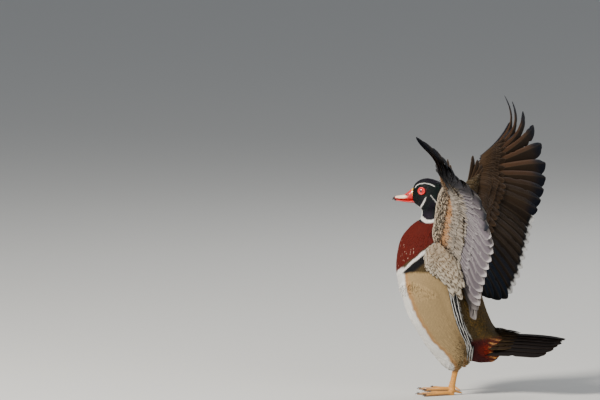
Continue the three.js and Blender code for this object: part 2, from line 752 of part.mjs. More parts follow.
bird.add(meshOf("torso", makeTorso(), COLOURS.tan));
bird.add(meshOf("neck", makeNeck(), COLOURS.maroon));
bird.add(meshOf("head", makeHead(), COLOURS.black));
bird.add(meshOf("bill_upper", makeUpperBill(), COLOURS.red, 0.4));
bird.add(meshOf("bill_lower", makeLowerBill(), COLOURS.red, 0.4));
bird.add(meshOf("tail", makeTail(), COLOURS.tail));
for (const [name, side] of Object.entries(SIDES)) {
  bird.add(meshOf(`eye_${name}`, sphere(EYE.radius, eyeCentre(side)), COLOURS.iris, 0.15));
  bird.add(meshOf(`wing_${name}`, makeWing(name), COLOURS.brown));
  const { leg, foot } = makeLeg(name);
  bird.add(meshOf(`leg_${name}`, leg, COLOURS.leg));
  bird.add(meshOf(`foot_${name}`, foot, COLOURS.leg));
}

// The frame's origin is on the floor under the middle of the bird's extents
const extents = new THREE.Box3().setFromObject(bird);
bird.position.set(-(extents.min.x + extents.max.x) / 2, -(extents.min.y + extents.max.y) / 2, 0);

export default group;
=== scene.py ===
import math

import bpy
import numpy as np
from mathutils import Matrix, Vector


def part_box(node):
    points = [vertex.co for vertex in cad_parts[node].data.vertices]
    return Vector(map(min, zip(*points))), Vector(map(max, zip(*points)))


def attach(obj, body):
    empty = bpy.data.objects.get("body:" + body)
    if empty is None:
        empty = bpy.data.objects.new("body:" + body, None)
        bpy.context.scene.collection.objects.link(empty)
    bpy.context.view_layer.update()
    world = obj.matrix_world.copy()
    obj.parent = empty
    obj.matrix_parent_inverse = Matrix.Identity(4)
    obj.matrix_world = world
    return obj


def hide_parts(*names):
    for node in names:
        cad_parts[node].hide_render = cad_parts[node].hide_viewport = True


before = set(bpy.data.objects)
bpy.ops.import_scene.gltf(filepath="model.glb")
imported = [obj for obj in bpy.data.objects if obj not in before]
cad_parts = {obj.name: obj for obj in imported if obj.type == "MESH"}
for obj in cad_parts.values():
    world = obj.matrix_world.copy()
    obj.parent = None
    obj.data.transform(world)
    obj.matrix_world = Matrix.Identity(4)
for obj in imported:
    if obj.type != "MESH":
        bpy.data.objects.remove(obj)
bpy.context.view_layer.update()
rng = np.random.default_rng(7)

# Driving sizes in millimetres, +Z up; the bird faces -X and its left side is -Y
MM = 0.001
HUMERUS = 66
FOREARM = 61
HAND = 57
SHOULDER = (-8, 32, 215)
EYE = np.array([-37.4, 13.4, 288.4])
EYE_RADIUS = 5.8
SIDES = {"left": -1, "right": 1}
COAT = 1.3  # depth of the small feathers over the skin
HEAD_COAT = 0.78  # the same on the head
ARM_COAT = 0.8  # and on the wings' arms
LID_RING = 5.2  # radius of the dark red skin painted round the eye
EYE_CLEARING = 6.3  # radius round the eye without feathers


def frame_shift():
    """The offset in metres from the bird's own coordinates to the frame."""
    corners = [np.array(c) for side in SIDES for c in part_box("eye_" + side)]
    return sum(corners) / 4 - EYE * [1, 0, 1] * MM


SHIFT = frame_shift()


def unit(v):
    v = np.asarray(v, float)
    return v / np.maximum(np.linalg.norm(v, axis=-1, keepdims=True), 1e-9)


def mix(a, b, t):
    return a + (b - a) * t


def smooth(t):
    t = np.clip(t, 0, 1)
    return t * t * (3 - 2 * t)


def read_rows(rows, t):
    """Rows of numbers at any places t from 0 to 1, on a smooth curve through them."""
    rows = np.asarray(rows, float)
    last = len(rows) - 1
    place = np.clip(np.atleast_1d(np.asarray(t, float)), 0, 1) * last
    i = np.minimum(place.astype(int), last - 1)
    f = (place - i)[:, None]
    a, b, d, e = (rows[np.clip(i + k, 0, last)] for k in (-1, 0, 1, 2))
    return 0.5 * (2 * b + f * ((d - a) + f * ((2 * a - 5 * b + 4 * d - e) + f * (3 * b - a - 3 * d + e))))


def circle(count):
    """Cosine and sine at even steps of a full turn."""
    angle = 2 * math.pi * np.arange(count) / count
    return np.cos(angle), np.sin(angle)


def ripple(p, scale, seed=0.0):
    """A soft pseudo-random value from -1 to 1 at each point."""
    q = np.asarray(p) / scale + seed
    x, y, z = q[..., 0], q[..., 1], q[..., 2]
    first = np.sin(2.1 * x + 1.3 * y + 0.7) * np.sin(1.7 * z - 0.9 * x + 1.1)
    second = np.sin(3.3 * y + 2.2 * z + 2.3) * np.sin(2.9 * x - 1.9 * z)
    return 0.6 * first + 0.4 * second


# Meshes from numpy arrays
def placed(name, data):
    made = bpy.data.objects.new(name, data)
    bpy.context.scene.collection.objects.link(made)
    return made


def joined(parts):
    """Several meshes, each of vertices and faces, as the arrays of one."""
    offsets = np.cumsum([0] + [len(part[0]) for part in parts[:-1]])
    faces = [part[1] + offset for part, offset in zip(parts, offsets)]
    return np.concatenate([part[0] for part in parts]), np.concatenate(faces)


def new_mesh(name, verts, faces, colours=None, maps=None):
    """verts in millimetres, faces as an array of triangles or quads, colours a value per vertex."""
    mesh = bpy.data.meshes.new(name)
    verts = np.asarray(verts, float) * MM + SHIFT
    faces = np.asarray(faces)
    count, corners = faces.shape
    mesh.vertices.add(len(verts))
    mesh.vertices.foreach_set("co", verts.ravel())
    mesh.loops.add(count * corners)
    mesh.loops.foreach_set("vertex_index", faces.ravel().astype(np.int32))
    mesh.polygons.add(count)
    mesh.polygons.foreach_set("loop_start", np.arange(0, count * corners, corners, dtype=np.int32))
    mesh.update(calc_edges=True)
    mesh.validate()
    if colours is not None:
        paint(mesh, colours)
    for map_name, uv in (maps or {}).items():
        layer = mesh.uv_layers.new(name=map_name)
        layer.data.foreach_set("uv", np.asarray(uv)[faces.ravel()].ravel().astype(np.float32))
    mesh.polygons.foreach_set("use_smooth", np.full(len(mesh.polygons), True))
    return mesh


def paint(mesh, colours):
    layer = mesh.color_attributes.new("Col", "FLOAT_COLOR", "POINT")
    full = np.ones((len(colours), 4), np.float32)
    full[:, :3] = np.clip(colours, 0, 1)
    layer.data.foreach_set("color", full.ravel())


def add_piece(name, mesh, material, nodes=()):
    piece = placed(name, mesh)
    mesh.materials.clear()
    mesh.materials.append(material)
    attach(piece, "root")
    if nodes:
        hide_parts(*nodes)


def add_arrays(name, arrays, material, nodes=(), maps=None):
    """A piece from its vertices, faces and colours."""
    add_piece(name, new_mesh(name, *arrays, maps=maps), material, nodes)


# Materials
def painted_material(name, roughness):
    """A material, its shader, and a node that reads the colours painted on the mesh."""
    material = bpy.data.materials.new(name)
    material.use_nodes = True
    nodes = material.node_tree.nodes
    shader = nodes["Principled BSDF"]
    shader.inputs["Roughness"].default_value = roughness
    colour = nodes.new("ShaderNodeVertexColor")
    colour.layer_name = "Col"
    return material, shader, colour


def add_texture(material, kind, **values):
    """A texture fixed to the object, or to the feather's map of barbs where it is a wave."""
    nodes, links = material.node_tree.nodes, material.node_tree.links
    texture = nodes.new(kind)
    for name, value in values.items():
        texture.inputs[name].default_value = value
    if kind == "ShaderNodeTexWave":
        barbs = nodes.new("ShaderNodeUVMap")
        barbs.uv_map = "Barbs"
        links.new(barbs.outputs["UV"], texture.inputs["Vector"])
    else:
        links.new(nodes.new("ShaderNodeTexCoord").outputs["Object"], texture.inputs["Vector"])
    return texture


def add_bump(material, height, strength, distance):
    nodes, links = material.node_tree.nodes, material.node_tree.links
    bump = nodes.new("ShaderNodeBump")
    bump.inputs["Strength"].default_value = strength
    bump.inputs["Distance"].default_value = distance
    links.new(height, bump.inputs["Height"])
    links.new(bump.outputs["Normal"], nodes["Principled BSDF"].inputs["Normal"])


def feather_material(name, roughness, gloss, grain=0.0):
    """Painted colours with a fine fleck, and barbs as bump along each feather."""
    material, shader, colour = painted_material(name, roughness)
    nodes, links = material.node_tree.nodes, material.node_tree.links
    fleck = add_texture(material, "ShaderNodeTexNoise", Scale=900, Detail=3)
    shade = nodes.new("ShaderNodeMapRange")
    shade.inputs["To Min"].default_value = 0.72
    shade.inputs["To Max"].default_value = 1.25
    links.new(fleck.outputs["Fac"], shade.inputs["Value"])
    multiply = nodes.new("ShaderNodeVectorMath")
    multiply.operation = "SCALE"
    links.new(colour.outputs["Color"], multiply.inputs[0])
    links.new(shade.outputs["Result"], multiply.inputs["Scale"])
    links.new(multiply.outputs["Vector"], shader.inputs["Base Color"])
    if grain:
        wave = add_texture(material, "ShaderNodeTexWave", Scale=0.42, Distortion=1.2)
        add_bump(material, wave.outputs["Fac"], grain, 0.0002)
    shader.inputs["Specular IOR Level"].default_value = gloss
    return material


def horn_material(name, roughness, coat, scales=0):
    material, shader, colour = painted_material(name, roughness)
    material.node_tree.links.new(colour.outputs["Color"], shader.inputs["Base Color"])
    if scales:
        cells = add_texture(material, "ShaderNodeTexVoronoi", Scale=scales)
        add_bump(material, cells.outputs["Distance"], 0.5, 0.0004)
    shader.inputs["Coat Weight"].default_value = coat
    return material


SOFT = feather_material("soft_feathers", 0.75, 0.12)
SILKY = feather_material("silky_feathers", 0.45, 0.14)
STIFF = feather_material("stiff_feathers", 0.6, 0.06, 0.6)
HORN = horn_material("horn", 0.32, 0.25)
WET = horn_material("wet", 0.12, 0.45)
SCALY = horn_material("scaly_skin", 0.5, 0.1, 420)

# The body: rows of front x, front z, back x, back z, half width, where widest, squareness
TRUNK_ROWS = [
    [-40.5, 259, -3, 268, 19, 0.5, 0.95],
    [-43, 249, -2, 258, 20.5, 0.5, 0.95],
    [-57, 238, 4, 242, 29, 0.52, 0.95],
    [-70, 222, 13, 226, 40, 0.52, 0.92],
    [-76, 202, 23, 207, 48, 0.52, 0.9],
    [-78, 179, 32, 186, 52, 0.52, 0.88],
    [-75, 156, 38, 166, 54, 0.52, 0.88],
    [-68, 134, 43, 147, 54, 0.52, 0.88],
    [-58, 114, 48, 129, 53, 0.53, 0.88],
    [-44, 94, 54, 113, 50, 0.55, 0.9],
    [-28, 76, 60, 101, 45, 0.56, 0.92],
    [-8, 61, 68, 93, 38, 0.56, 0.95],
    [14, 50, 77, 89, 31, 0.55, 0.95],
    [36, 45, 84, 87, 25, 0.55, 0.95],
    [56, 45, 91, 84, 19, 0.55, 0.95],
]
# Bottom x and z, top x and z of each section from the bill's base to the nape
HEAD_ROWS = [
    [-53.5, 271.5, -53.5, 291, 8.5, 0.5, 0.95],
    [-50, 268.3, -50.5, 298, 13, 0.55, 0.92],
    [-43, 262.5, -44, 303.5, 16.5, 0.5, 0.9],
    [-34, 253, -35, 306, 19, 0.48, 0.88],
    [-25, 248, -25, 304.8, 20.5, 0.45, 0.9],
    [-15, 250, -15, 301, 19.5, 0.45, 0.92],
    [-6.5, 256, -7, 294, 16, 0.5, 0.95],
    [-0.5, 264, -1, 284, 10, 0.5, 1],
]
# The corner between chin and neck
THROAT_ROWS = [
    [-44, 268, -20, 272, 10, 0.5, 1],
    [-42, 260, -12, 262, 16, 0.5, 1],
    [-43, 248, -4, 250, 19, 0.5, 1],
]
# The flank lobes: centre x, y, z, half breadth, half thickness
FLANK_ROWS = [
    [-47, 38, 176, 8, 5],
    [-42, 42, 165, 24, 11],
    [-32, 44, 148, 31, 14.5],
    [-23, 43.5, 126, 33, 15.5],
    [-13, 41.5, 104, 31.5, 15.5],
    [-4, 38, 82, 28, 14.5],
    [4, 34, 62, 22, 12.5],
    [9, 31, 47, 15, 10],
    [11, 29.5, 38, 6, 5],
]


def powered(value, power):
    return np.sign(value) * np.abs(value) ** power


def body_rings(rows, rings, count, grow):
    c, s = circle(count)
    made = []
    for fx, fz, bx, bz, half_width, widest, square in read_rows(rows, np.linspace(0, 1, rings)):
        front, back = np.array([fx, 0, fz]), np.array([bx, 0, bz])
        depth = np.linalg.norm(back - front)
        axis = (back - front) / depth
        reach = np.where(c > 0, (1 - widest) * depth, widest * depth) + grow
        ring = front + axis * depth * widest + np.outer(powered(c, square) * reach, axis)
        ring[:, 1] += powered(s, square) * (half_width + grow)
        made.append(ring)
    return np.array(made)


def flank_rings(side, grow):
    c, s = circle(32)
    across = np.array([0.95, 0, 0.31])
    made = []
    for x, y, z, breadth, thick in read_rows(FLANK_ROWS, np.linspace(0, 1, 30)):
        ring = np.array([x, side * y, z]) + np.outer(c * (breadth + grow), across)
        ring[:, 1] += s * (thick + grow)
        made.append(ring)
    return np.array(made)


def loft(rings):
    """Vertices and triangles of a closed surface through rings, with a fan over each end."""
    count, size = rings.shape[:2]
    verts = np.concatenate([rings.reshape(-1, 3), [rings[0].mean(0)], [rings[-1].mean(0)]])
    j = np.arange(size)
    k = (j + 1) % size
    faces = []
    for i in range(count - 1):
        a, b, c, d = i * size + j, i * size + k, (i + 1) * size + k, (i + 1) * size + j
        faces += [np.stack([a, b, c], 1), np.stack([a, c, d], 1)]
    end, middle = (count - 1) * size, np.full(size, count * size)
    faces += [np.stack([middle, k, j], 1), np.stack([middle + 1, end + j, end + k], 1)]
    return verts, np.concatenate(faces)


# The wings' frames
WING_POSES = {
    "left": {
        "humerus": (0.215, 0.685, 0.696),
        "forearm": (0.214, 0.684, 0.697),
        "hand": (0, 0.924, 0.384),
        "chord": (0.705, 0.44, -0.554),
        "hand_chord": (0.705, 0.44, -0.554),
        "fan": 0,
        "bow": 6,
        "sweep": 12,
        "twist": 33,
        "drawn": 0.35,
    },
    "right": {
        "humerus": (0.178, 0.85, 0.497),
        "forearm": (0.03, 0.775, 0.632),
        "hand": (0.1, 0.829, 0.543),
        "chord": (0.705, 0.44, -0.554),
        "hand_chord": (0.635, 0.368, -0.679),
        "fan": 2,
        "bow": 10,
        "sweep": 20,
        "twist": 0,
        "drawn": 1,
    },
}
# Place on the bones, length, angle and lift on the left and right wing, outer and inner web
FLIGHT_ROWS = [
    [-0.92, 100, -34, -5, -25, 2, 9, 12],
    [-0.47, 126, -35, -4, -22, 0, 11, 14],
    [-0.05, 121, -31, -3, -18, 2, 10.5, 14],
    [0.38, 113, -21, -1, -10, 4, 9.5, 13.5],
    [0.78, 111, -4, -1, 0, 3, 9, 13.5],
    [1.04, 113, 21, -7, 14.5, 9, 8.5, 13.5],
    [1.36, 130, 58, 0, 41.5, 10, 7.5, 13.5],
    [1.68, 155, 79, 2, 72.5, 5, 6, 12],
    [2, 156, 93, -1, 91, -2, 4, 10],
]
FLIGHT_COUNT = 24
FIRST_PRIMARY = 14
# Reach in front of the bones, reach behind them and half thickness of the arm
ARM_START, ARM_END = -0.98, 2.05
ARM_ROWS = [
    [20, 34, 13],
    [18, 40, 11],
    [18, 42, 9],
    [19, 40, 8],
    [17, 36, 7],
    [11, 32, 6],
    [7, 27, 4.8],
    [5, 22, 3.8],
    [2, 9, 1.8],
]


class Wing:
    """Bones, local axes and the arm's surface of one wing."""

    def __init__(self, name):
        pose = WING_POSES[name]
        self.name, self.side = name, SIDES[name]
        self.pose = pose
        self.bones = [self.turn(pose[k]) for k in ("humerus", "forearm", "hand")]
        self.chords = [self.turn(pose["chord"]), self.turn(pose["hand_chord"])]
        self.joints = [np.array([SHOULDER[0], self.side * SHOULDER[1], SHOULDER[2]], float)]
        for bone, length in zip(self.bones, (HUMERUS, FOREARM, HAND)):
            self.joints.append(self.joints[-1] + bone * length)

    def turn(self, v):
        return unit([v[0], self.side * v[1], v[2]])

    def bone_point(self, place):
        i = min(max(math.floor(place) + 1, 0), 2)
        return mix(self.joints[i], self.joints[i + 1], place + 1 - i)

    def axes(self, place):
        """Outwards, back to the trailing edge, and up from the wing's back."""
        if place < 1:
            out = mix(self.bones[0], self.bones[1], smooth((place + 1) / 2))
        else:
            out = mix(self.bones[1], self.bones[2], smooth((place - 1) * 2))
        out = unit(out)
        chord = mix(self.chords[0], self.chords[1], smooth(place - 0.5))
        back = unit(chord - out * (chord @ out))
        return out, back, np.cross(back, out) * self.side

    def arm(self, place):
        return read_rows(ARM_ROWS, (place - ARM_START) / (ARM_END - ARM_START))[0]

    def surface(self, place, across, face):
        """A point on the arm and its outward normal: across from -1 at the front to 1 behind, face 1 on
        the upper side and -1 on the lower."""
        front, behind, half = self.arm(place)
        _, back, up = self.axes(place)
        thin = 1 - 0.75 * max(across, 0)
        rise = math.sqrt(max(0.0, 1 - across * across)) * half * thin
        reach = across * (behind if across > 0 else front)
        point = self.bone_point(place) + back * reach + up * face * rise
        lean = across * 0.9 if across < 0 else 0.12
        return point, unit(up * face + back * lean)

    def rings(self, grow):
        c, s = circle(24)
        made = []
        for place in np.linspace(ARM_START, ARM_END, 40):
            front, behind, half = self.arm(place) + grow
            _, back, up = self.axes(place)
            reach = c * np.where(c > 0, behind, front)
            thin = np.where(c > 0, 1 - 0.75 * c, 1)
            made.append(self.bone_point(place) + np.outer(reach, back) + np.outer(s * half * thin, up))
        return np.array(made)

    def feather(self, place, length, angle, lift, bow, sweep=0.0):
        out, back, up = self.axes(place)
        turn, rise = math.radians(angle), math.radians(lift)
        flat = back * math.cos(turn) + out * math.sin(turn)
        return {
            "root": self.bone_point(place),
            "direction": flat * math.cos(rise) + up * math.sin(rise),
            "normal": up * math.cos(rise) - flat * math.sin(rise),
            "aside": out * math.cos(turn) - back * math.sin(turn),
            "length": length,
            "bow": bow,
            "sweep": sweep,
            "place": place,
        }

    def flight(self, k):
        row = read_rows(FLIGHT_ROWS, k / (FLIGHT_COUNT - 1))[0]
        leading = float(smooth(max(0, (k - FIRST_PRIMARY - 4) / 5)))
        pose, fan = self.pose, self.pose["fan"]
        made = self.feather(row[0], row[1], row[2 + fan], row[3 + fan], mix(6, pose["bow"], leading),
                            pose["sweep"] * leading)
        made.update(outer=row[6], inner=row[7], drawn=pose["drawn"] * leading, twist=pose["twist"] * leading)
        return made


WINGS = {name: Wing(name) for name in SIDES}

# Markings: colours of the plumage at points in the bird's own millimetres
BLACK = np.array([0.0035, 0.004, 0.005])
GREEN = np.array([0.004, 0.013, 0.010])
PURPLE = np.array([0.011, 0.005, 0.015])
WHITE = np.array([0.72, 0.70, 0.66])
MAROON = np.array([0.092, 0.008, 0.004])
DARK_MAROON = np.array([0.040, 0.006, 0.006])
TAN = np.array([0.32, 0.222, 0.108])
ORANGE_TAN = np.array([0.34, 0.19, 0.078])
BROWN = np.array([0.034, 0.020, 0.011])
BRONZE = np.array([0.060, 0.040, 0.014])
TAIL_BLACK = np.array([0.008, 0.006, 0.006])
PALE_ORANGE = np.array([0.40, 0.20, 0.08])

# White marks of the head as lines seen from the side: x and z of their points, and half width
HEAD_LINES = [
    ([(-48.5, 293), (-46.0, 296.4), (-42.0, 298.3), (-34.6, 299.3), (-26.5, 298.2), (-20, 295.2)], 0.45),
    ([(-24.6, 282.6), (-18.5, 275.5), (-15, 271)], 0.35),
    ([(-31.6, 280.4), (-33.0, 276.5)], 0.5),
    ([(-33.0, 276.5), (-36.2, 270.8), (-40.5, 265)], 1.05),
    ([(-43, 252.5), (-37.5, 249), (-30.5, 246), (-23.5, 245.6), (-16, 248.4), (-9, 254)], 2.3),
    ([(-14.3, 268), (-9.5, 262), (-5.5, 256)], 0.9),
]
# The white bar between breast and flank: x and z of a point on it, and its direction
BAR_START = np.array([-60.0, 179.0])
BAR_ALONG = unit([37.0, 29.0])
# The flank's front and rear edge seen from the side: heights, and x at each
FLANK_FRONT = ([42, 60, 80, 123, 150, 172], [13, 2, -18, -42.5, -52, -58])
FLANK_BACK = ([42, 70.7, 108.7, 140, 165.7, 176], [30, 34, 18.5, 11, 6, 2])
# Stripes behind the flank: where each starts and ends behind its rear edge
FLANK_STRIPES = ((0, 2.5, BLACK), (2.5, 4.5, WHITE), (4.5, 7, BLACK), (7, 8.6, WHITE * 0.8))


def line_distance(x, z, points):
    """Distance in the side view from each point to a line of several parts."""
    best = np.full(len(x), 1e9)
    for (x0, z0), (x1, z1) in zip(points[:-1], points[1:]):
        dx, dz = x1 - x0, z1 - z0
        t = np.clip(((x - x0) * dx + (z - z0) * dz) / (dx * dx + dz * dz), 0, 1)
        best = np.minimum(best, np.hypot(x - x0 - t * dx, z - z0 - t * dz))
    return best


def blend_in(colour, mask, paint_colour):
    mask = np.clip(mask, 0, 1)[:, None]
    return colour * (1 - mask) + np.asarray(paint_colour) * mask


def layered(points, ground, *layers):
    """A colour for each of the points: the ground, with every (mask, colour) laid over it in turn."""
    colour = np.asarray(ground) * np.ones((len(points), 1))
    for mask, paint_colour in layers:
        colour = blend_in(colour, mask, paint_colour)
    return colour


def edge(value, softness=0.6):
    """1 where value is above 0, 0 below, over a soft edge."""
    return np.clip(value / softness + 0.5, 0, 1)


def head_colour(p):
    x, y, z = p.T
    aside = np.abs(y)
    marks = [(edge(half - line_distance(x, z, points), 0.5) * edge(aside - 5, 2), WHITE)
             for points, half in HEAD_LINES]
    from_eye = np.hypot(x - EYE[0], z - EYE[2])
    return layered(
        p, BLACK,
        (0.35 + 0.5 * ripple(p, 6.0), GREEN),
        (edge(aside - 9) * edge(276 - z, 12) * (0.4 + 0.5 * ripple(p, 9.0, 4)), PURPLE),
        (edge(z - 299, 3) * 0.5, PURPLE),
        *marks,
        (edge(8 - aside, 1.0) * edge(-28 - x, 3) * edge(267 - z, 1.5), WHITE),
        (edge(LID_RING - from_eye, 0.5) * edge(aside - 8), (0.20, 0.015, 0.008)),
    )


def body_colour(p):
    x, y, z = p.T
    aside = np.abs(y)
    wave = ripple(p, 7.0) * 1.6
    from_bar = (z - BAR_START[1]) * BAR_ALONG[0] - (x - BAR_START[0]) * BAR_ALONG[1] + wave * 0.6
    front = np.interp(z, *FLANK_FRONT) + wave
    back = np.interp(z, *FLANK_BACK) + wave * 0.5
    behind = x - back
    pepper = 0.10 * np.sin(3.2 * z + 2.5 * ripple(p, 5)) * np.sin(1.3 * x)
    tan = layered(p, TAN * (1 + pepper)[:, None], (edge(front + 6 - x, 5), ORANGE_TAN))
    rear = edge(172 - z, 4) * edge(z - 52, 5) * edge(aside - 18, 6)
    stripes = [(edge(behind - low, 1) * edge(high - behind, 1) * rear, paint_of)
               for low, high, paint_of in FLANK_STRIPES]
    vent = edge(x - 28, 4) * edge(76 - z + 0.1 * x, 6) * edge(behind - 2, 3)
    spot = np.hypot((x - 55) / 10, (z - 64) / 9)
    streak = np.sin(0.9 * z + 0.25 * x) * edge(x - 62, 5) * edge(80 - z, 6)
    breast = edge(from_bar - 4 + 0.48 * (26 - np.minimum(aside, 26)), 1.5)
    breast = breast * edge(4 + 0.30 * (z - 200) - x, 10) * edge(z - 172, 3)
    side = edge(aside - 20, 4) * edge(-12 - x, 5)
    taper = np.clip((x + 63) / 18, 0, 1)
    patch = edge(from_bar + 4 + 8 * taper, 3) * edge(-2.4 - from_bar, 1)
    return layered(
        p, BROWN,
        (0.5 + 0.5 * ripple(p, 11.0, 2), BRONZE),
        (edge(150 - z, 40) * edge(x - 20, 20) * 0.6, BRONZE * 0.8),
        (edge(1 - behind, 2) * edge(176 - z, 3), tan),
        (edge(front - x, 3) * edge(181 - z, 4), WHITE * 0.92),
        *stripes,
        (vent, DARK_MAROON),
        (edge(1 - spot, 0.5) * edge(aside - 12, 4), MAROON),
        (np.clip(streak, 0, 1) * 0.8, PALE_ORANGE),
        (breast, MAROON * 0.9),
        (edge(from_bar + 2.4, 1) * edge(2.9 * taper - 0.4 - from_bar, 1) * side, WHITE),
        (patch * side * edge(taper - 0.1, 0.3), BLACK),
        (edge(x + 16 - 0.3 * (z - 240), 8) * edge(z - 226, 12), BLACK * 1.4),
    )


def plumage(p):
    """Markings of head and body at points of the skin."""
    p = np.asarray(p, float)
    x, _, z = p.T
    line = 244.2 + 0.16 * (x + 24) + 0.012 * (x + 24) ** 2
    head = edge(z - line, 2.0)[:, None]
    return body_colour(p) * (1 - head) + head_colour(p) * head


# The lie of the plumage: from the bill over the head, down the neck and back to the tail
HEAD_PATH = [[-56, 0, 281], [-46, 0, 283], [-36, 0, 282], [-26, 0, 279], [-18, 0, 270], [-22, 0, 258]]


def lie_of_feathers():
    rows = read_rows(TRUNK_ROWS, np.linspace(0.02, 1, 40))
    trunk = np.stack([(rows[:, 0] + rows[:, 2]) / 2, np.zeros(40), (rows[:, 1] + rows[:, 3]) / 2], 1)
    path = np.concatenate([HEAD_PATH, trunk, [[110, 0, 72]]])
    return path[:-1], unit(path[1:] - path[:-1])


PATH_POINTS, PATH_TANGENTS = lie_of_feathers()


def lie_at(p):
    near = ((p[:, None, :] - PATH_POINTS[None]) ** 2).sum(2)
    weight = np.exp(-(near - near.min(1, keepdims=True)) / 260.0)
    return unit(weight @ PATH_TANGENTS)


# The unwrap of the skin's own shape, used to place every tuft in the OFBake map
def skin_unwrap(p):
    """Along the body and round it, with the left half beside the right."""
    near = ((p[:, None, :] - PATH_POINTS[None]) ** 2).sum(2)
    along = near.argmin(1)
    centre, tangent = PATH_POINTS[along], PATH_TANGENTS[along]
    off = p - centre
    part = (off * tangent).sum(1) / 12.0
    v = (along + 0.5 + np.clip(part, -0.5, 0.5)) / len(PATH_POINTS)
    upward = np.cross(tangent, [0, 1, 0])
    angle = np.arctan2(off[:, 1], -(off * upward).sum(1))
    return np.stack([0.01 + 0.98 * (angle / (2 * math.pi) + 0.5), 0.01 + 0.98 * v], 1)


# Small feathers: closed thin tufts of five stations, three points across
TUFT_U = np.array([0.0, 0.3, 0.62, 0.88, 1.0])
TUFT_W = np.array([0.45, 0.92, 1.0, 0.68, 0.12])
# Painted shade: each tuft is darkest at its root, where the feather above covers it; its two sides get
# painted shade and its raised middle a painted highlight
TUFT_SHADE = np.array([0.6, 0.88, 1.0, 1.0, 1.0])
TUFT_RIDGE_SHADE = np.array([0.95, 1.04, 0.95])


def tufts(roots, directions, normals, lengths, widths, lifts, bend, colours, tips, unwrap, marking):
    """Arrays of one mesh of feathers. bend is the radius of the surface that they follow, and marking,
    if given, the function whose colours are painted point by point and multiplied by colours."""
    along = unit(directions - normals * (directions * normals).sum(1, keepdims=True))
    aside = np.cross(along, normals)
    run = lengths[:, None] * TUFT_U
    rise = -0.35 + lifts[:, None] * TUFT_U ** 0.8 - run ** 2 / (2 * bend[:, None])
    centre = roots[:, None] + along[:, None] * run[..., None] + normals[:, None] * rise[..., None]
    half = (widths[:, None] * TUFT_W * 0.5)[..., None]
    drop = normals[:, None] * (0.16 * half)
    left = centre - aside[:, None] * half - drop
    right = centre + aside[:, None] * half - drop
    top = centre + normals[:, None] * (0.10 + 0.1 * half)
    verts = np.stack([left, top, right], 2).reshape(-1, 3)
    first = np.arange(len(roots))[:, None, None] * TUFT_U.size * 3
    step = np.arange(TUFT_U.size - 1)[None, :, None] * 3
    quad = np.array([[0, 1, 4, 3], [1, 2, 5, 4], [2, 0, 3, 5]])
    quads = (first[..., None] + step[..., None] + quad[None, None]).reshape(-1, 4)
    ends = (first + np.array([[0, 2, 1], [12, 13, 14]])[None]).reshape(-1, 3)
    tris = np.concatenate([quads[:, [0, 1, 2]], quads[:, [0, 2, 3]], ends])
    mixed = mix(colours[:, None], tips[:, None], smooth((TUFT_U - 0.7) / 0.25)[None, :, None])
    # Painted shade at the tufts' roots and sides, and a painted highlight along their ridge
    painted = (mixed[:, :, None] * TUFT_SHADE[:, None, None] * TUFT_RIDGE_SHADE[:, None]).reshape(-1, 3)
    if marking is not None:
        painted = painted * marking(verts)
    across = np.array([-0.5, 0, 0.5])
    patch = np.stack(np.broadcast_arrays(across[None, None, :], (TUFT_U - 0.5)[None, :, None]), -1) * 0.003
    uv = (unwrap[:, None, None] + patch).reshape(-1, 2)
    return verts, tris, painted, uv


MAX_TUFTS = 7000  # in one piece


def add_tufts(name, material, slot, *arrays, bend, unwrap, marking=None):
    """One or more pieces of tufts, each under the limit of triangles."""
    bend = np.broadcast_to(bend, len(unwrap))
    order = np.argsort(unwrap[:, 1], kind="stable")
    parts = math.ceil(len(order) / MAX_TUFTS)
    for i, chosen in enumerate(np.array_split(order, parts)):
        roots, directions, normals, lengths, widths, lifts, colours, tips = (a[chosen] for a in arrays)
        *made, uv = tufts(roots, directions, normals, lengths, widths, lifts, bend[chosen], colours, tips,
                          unwrap[chosen], marking)
        add_arrays(f"{name}_{i + 1}", made, material, maps={"OFBake": uv})


# The skin: head, neck, body, arms and the flesh of the tail in one surface
def tail_cone_rings(grow):
    c, s = circle(28)
    made = []
    for t in np.linspace(0, 1, 8):
        z = mix(73, 75, t) + c * (mix(17, 5, t) + grow) - 6 * s * s
        made.append(np.stack([np.full(28, mix(44, 92, t)), s * (mix(20, 9, t) + grow), z], 1))
    return np.array(made)


def fused(parts, voxel, relax):
    """One closed mesh round several lofts."""
    piece = placed("fusing", new_mesh("fusing", *joined(parts)))
    remesh = piece.modifiers.new("remesh", "REMESH")
    remesh.mode = "VOXEL"
    remesh.voxel_size = voxel * MM
    remesh.use_smooth_shade = True
    soften = piece.modifiers.new("soften", "SMOOTH")
    soften.iterations = relax
    soften.factor = 0.5
    depsgraph = bpy.context.evaluated_depsgraph_get()
    made = bpy.data.meshes.new_from_object(piece.evaluated_get(depsgraph))
    bpy.data.objects.remove(piece)
    return made


def mesh_arrays(mesh):
    """Vertices in the bird's millimetres, their normals, and triangles."""
    count = len(mesh.vertices)
    verts, normals = np.empty(count * 3), np.empty(count * 3)
    mesh.vertices.foreach_get("co", verts)
    mesh.vertices.foreach_get("normal", normals)
    mesh.calc_loop_triangles()
    tris = np.empty(len(mesh.loop_triangles) * 3, np.int32)
    mesh.loop_triangles.foreach_get("vertices", tris)
    return (verts.reshape(-1, 3) - SHIFT) / MM, normals.reshape(-1, 3), tris.reshape(-1, 3)


def arm_colour(p, wing):
    """Small coverts of the arm: bronze brown above, spotted cream, brown and orange below."""
    _, back, up = wing.axes(0.3)
    off = p - wing.joints[1]
    above = edge((off * up).sum(1), 4)[:, None]
    behind = (off * back).sum(1)
    spots = edge(ripple(p, 2.2, 1.0) - 0.5, 0.35)
    streak = np.exp(-((behind - 12 + 4 * ripple(p, 20)) / 7.0) ** 2)
    under = layered(p, (0.31, 0.255, 0.195), (spots, BROWN * 2.2), (streak * 0.8, (0.32, 0.145, 0.05)))
    over = layered(p, BROWN * 0.85, (0.4 + 0.4 * ripple(p, 13), BRONZE))
    return over * above + under * (1 - above)


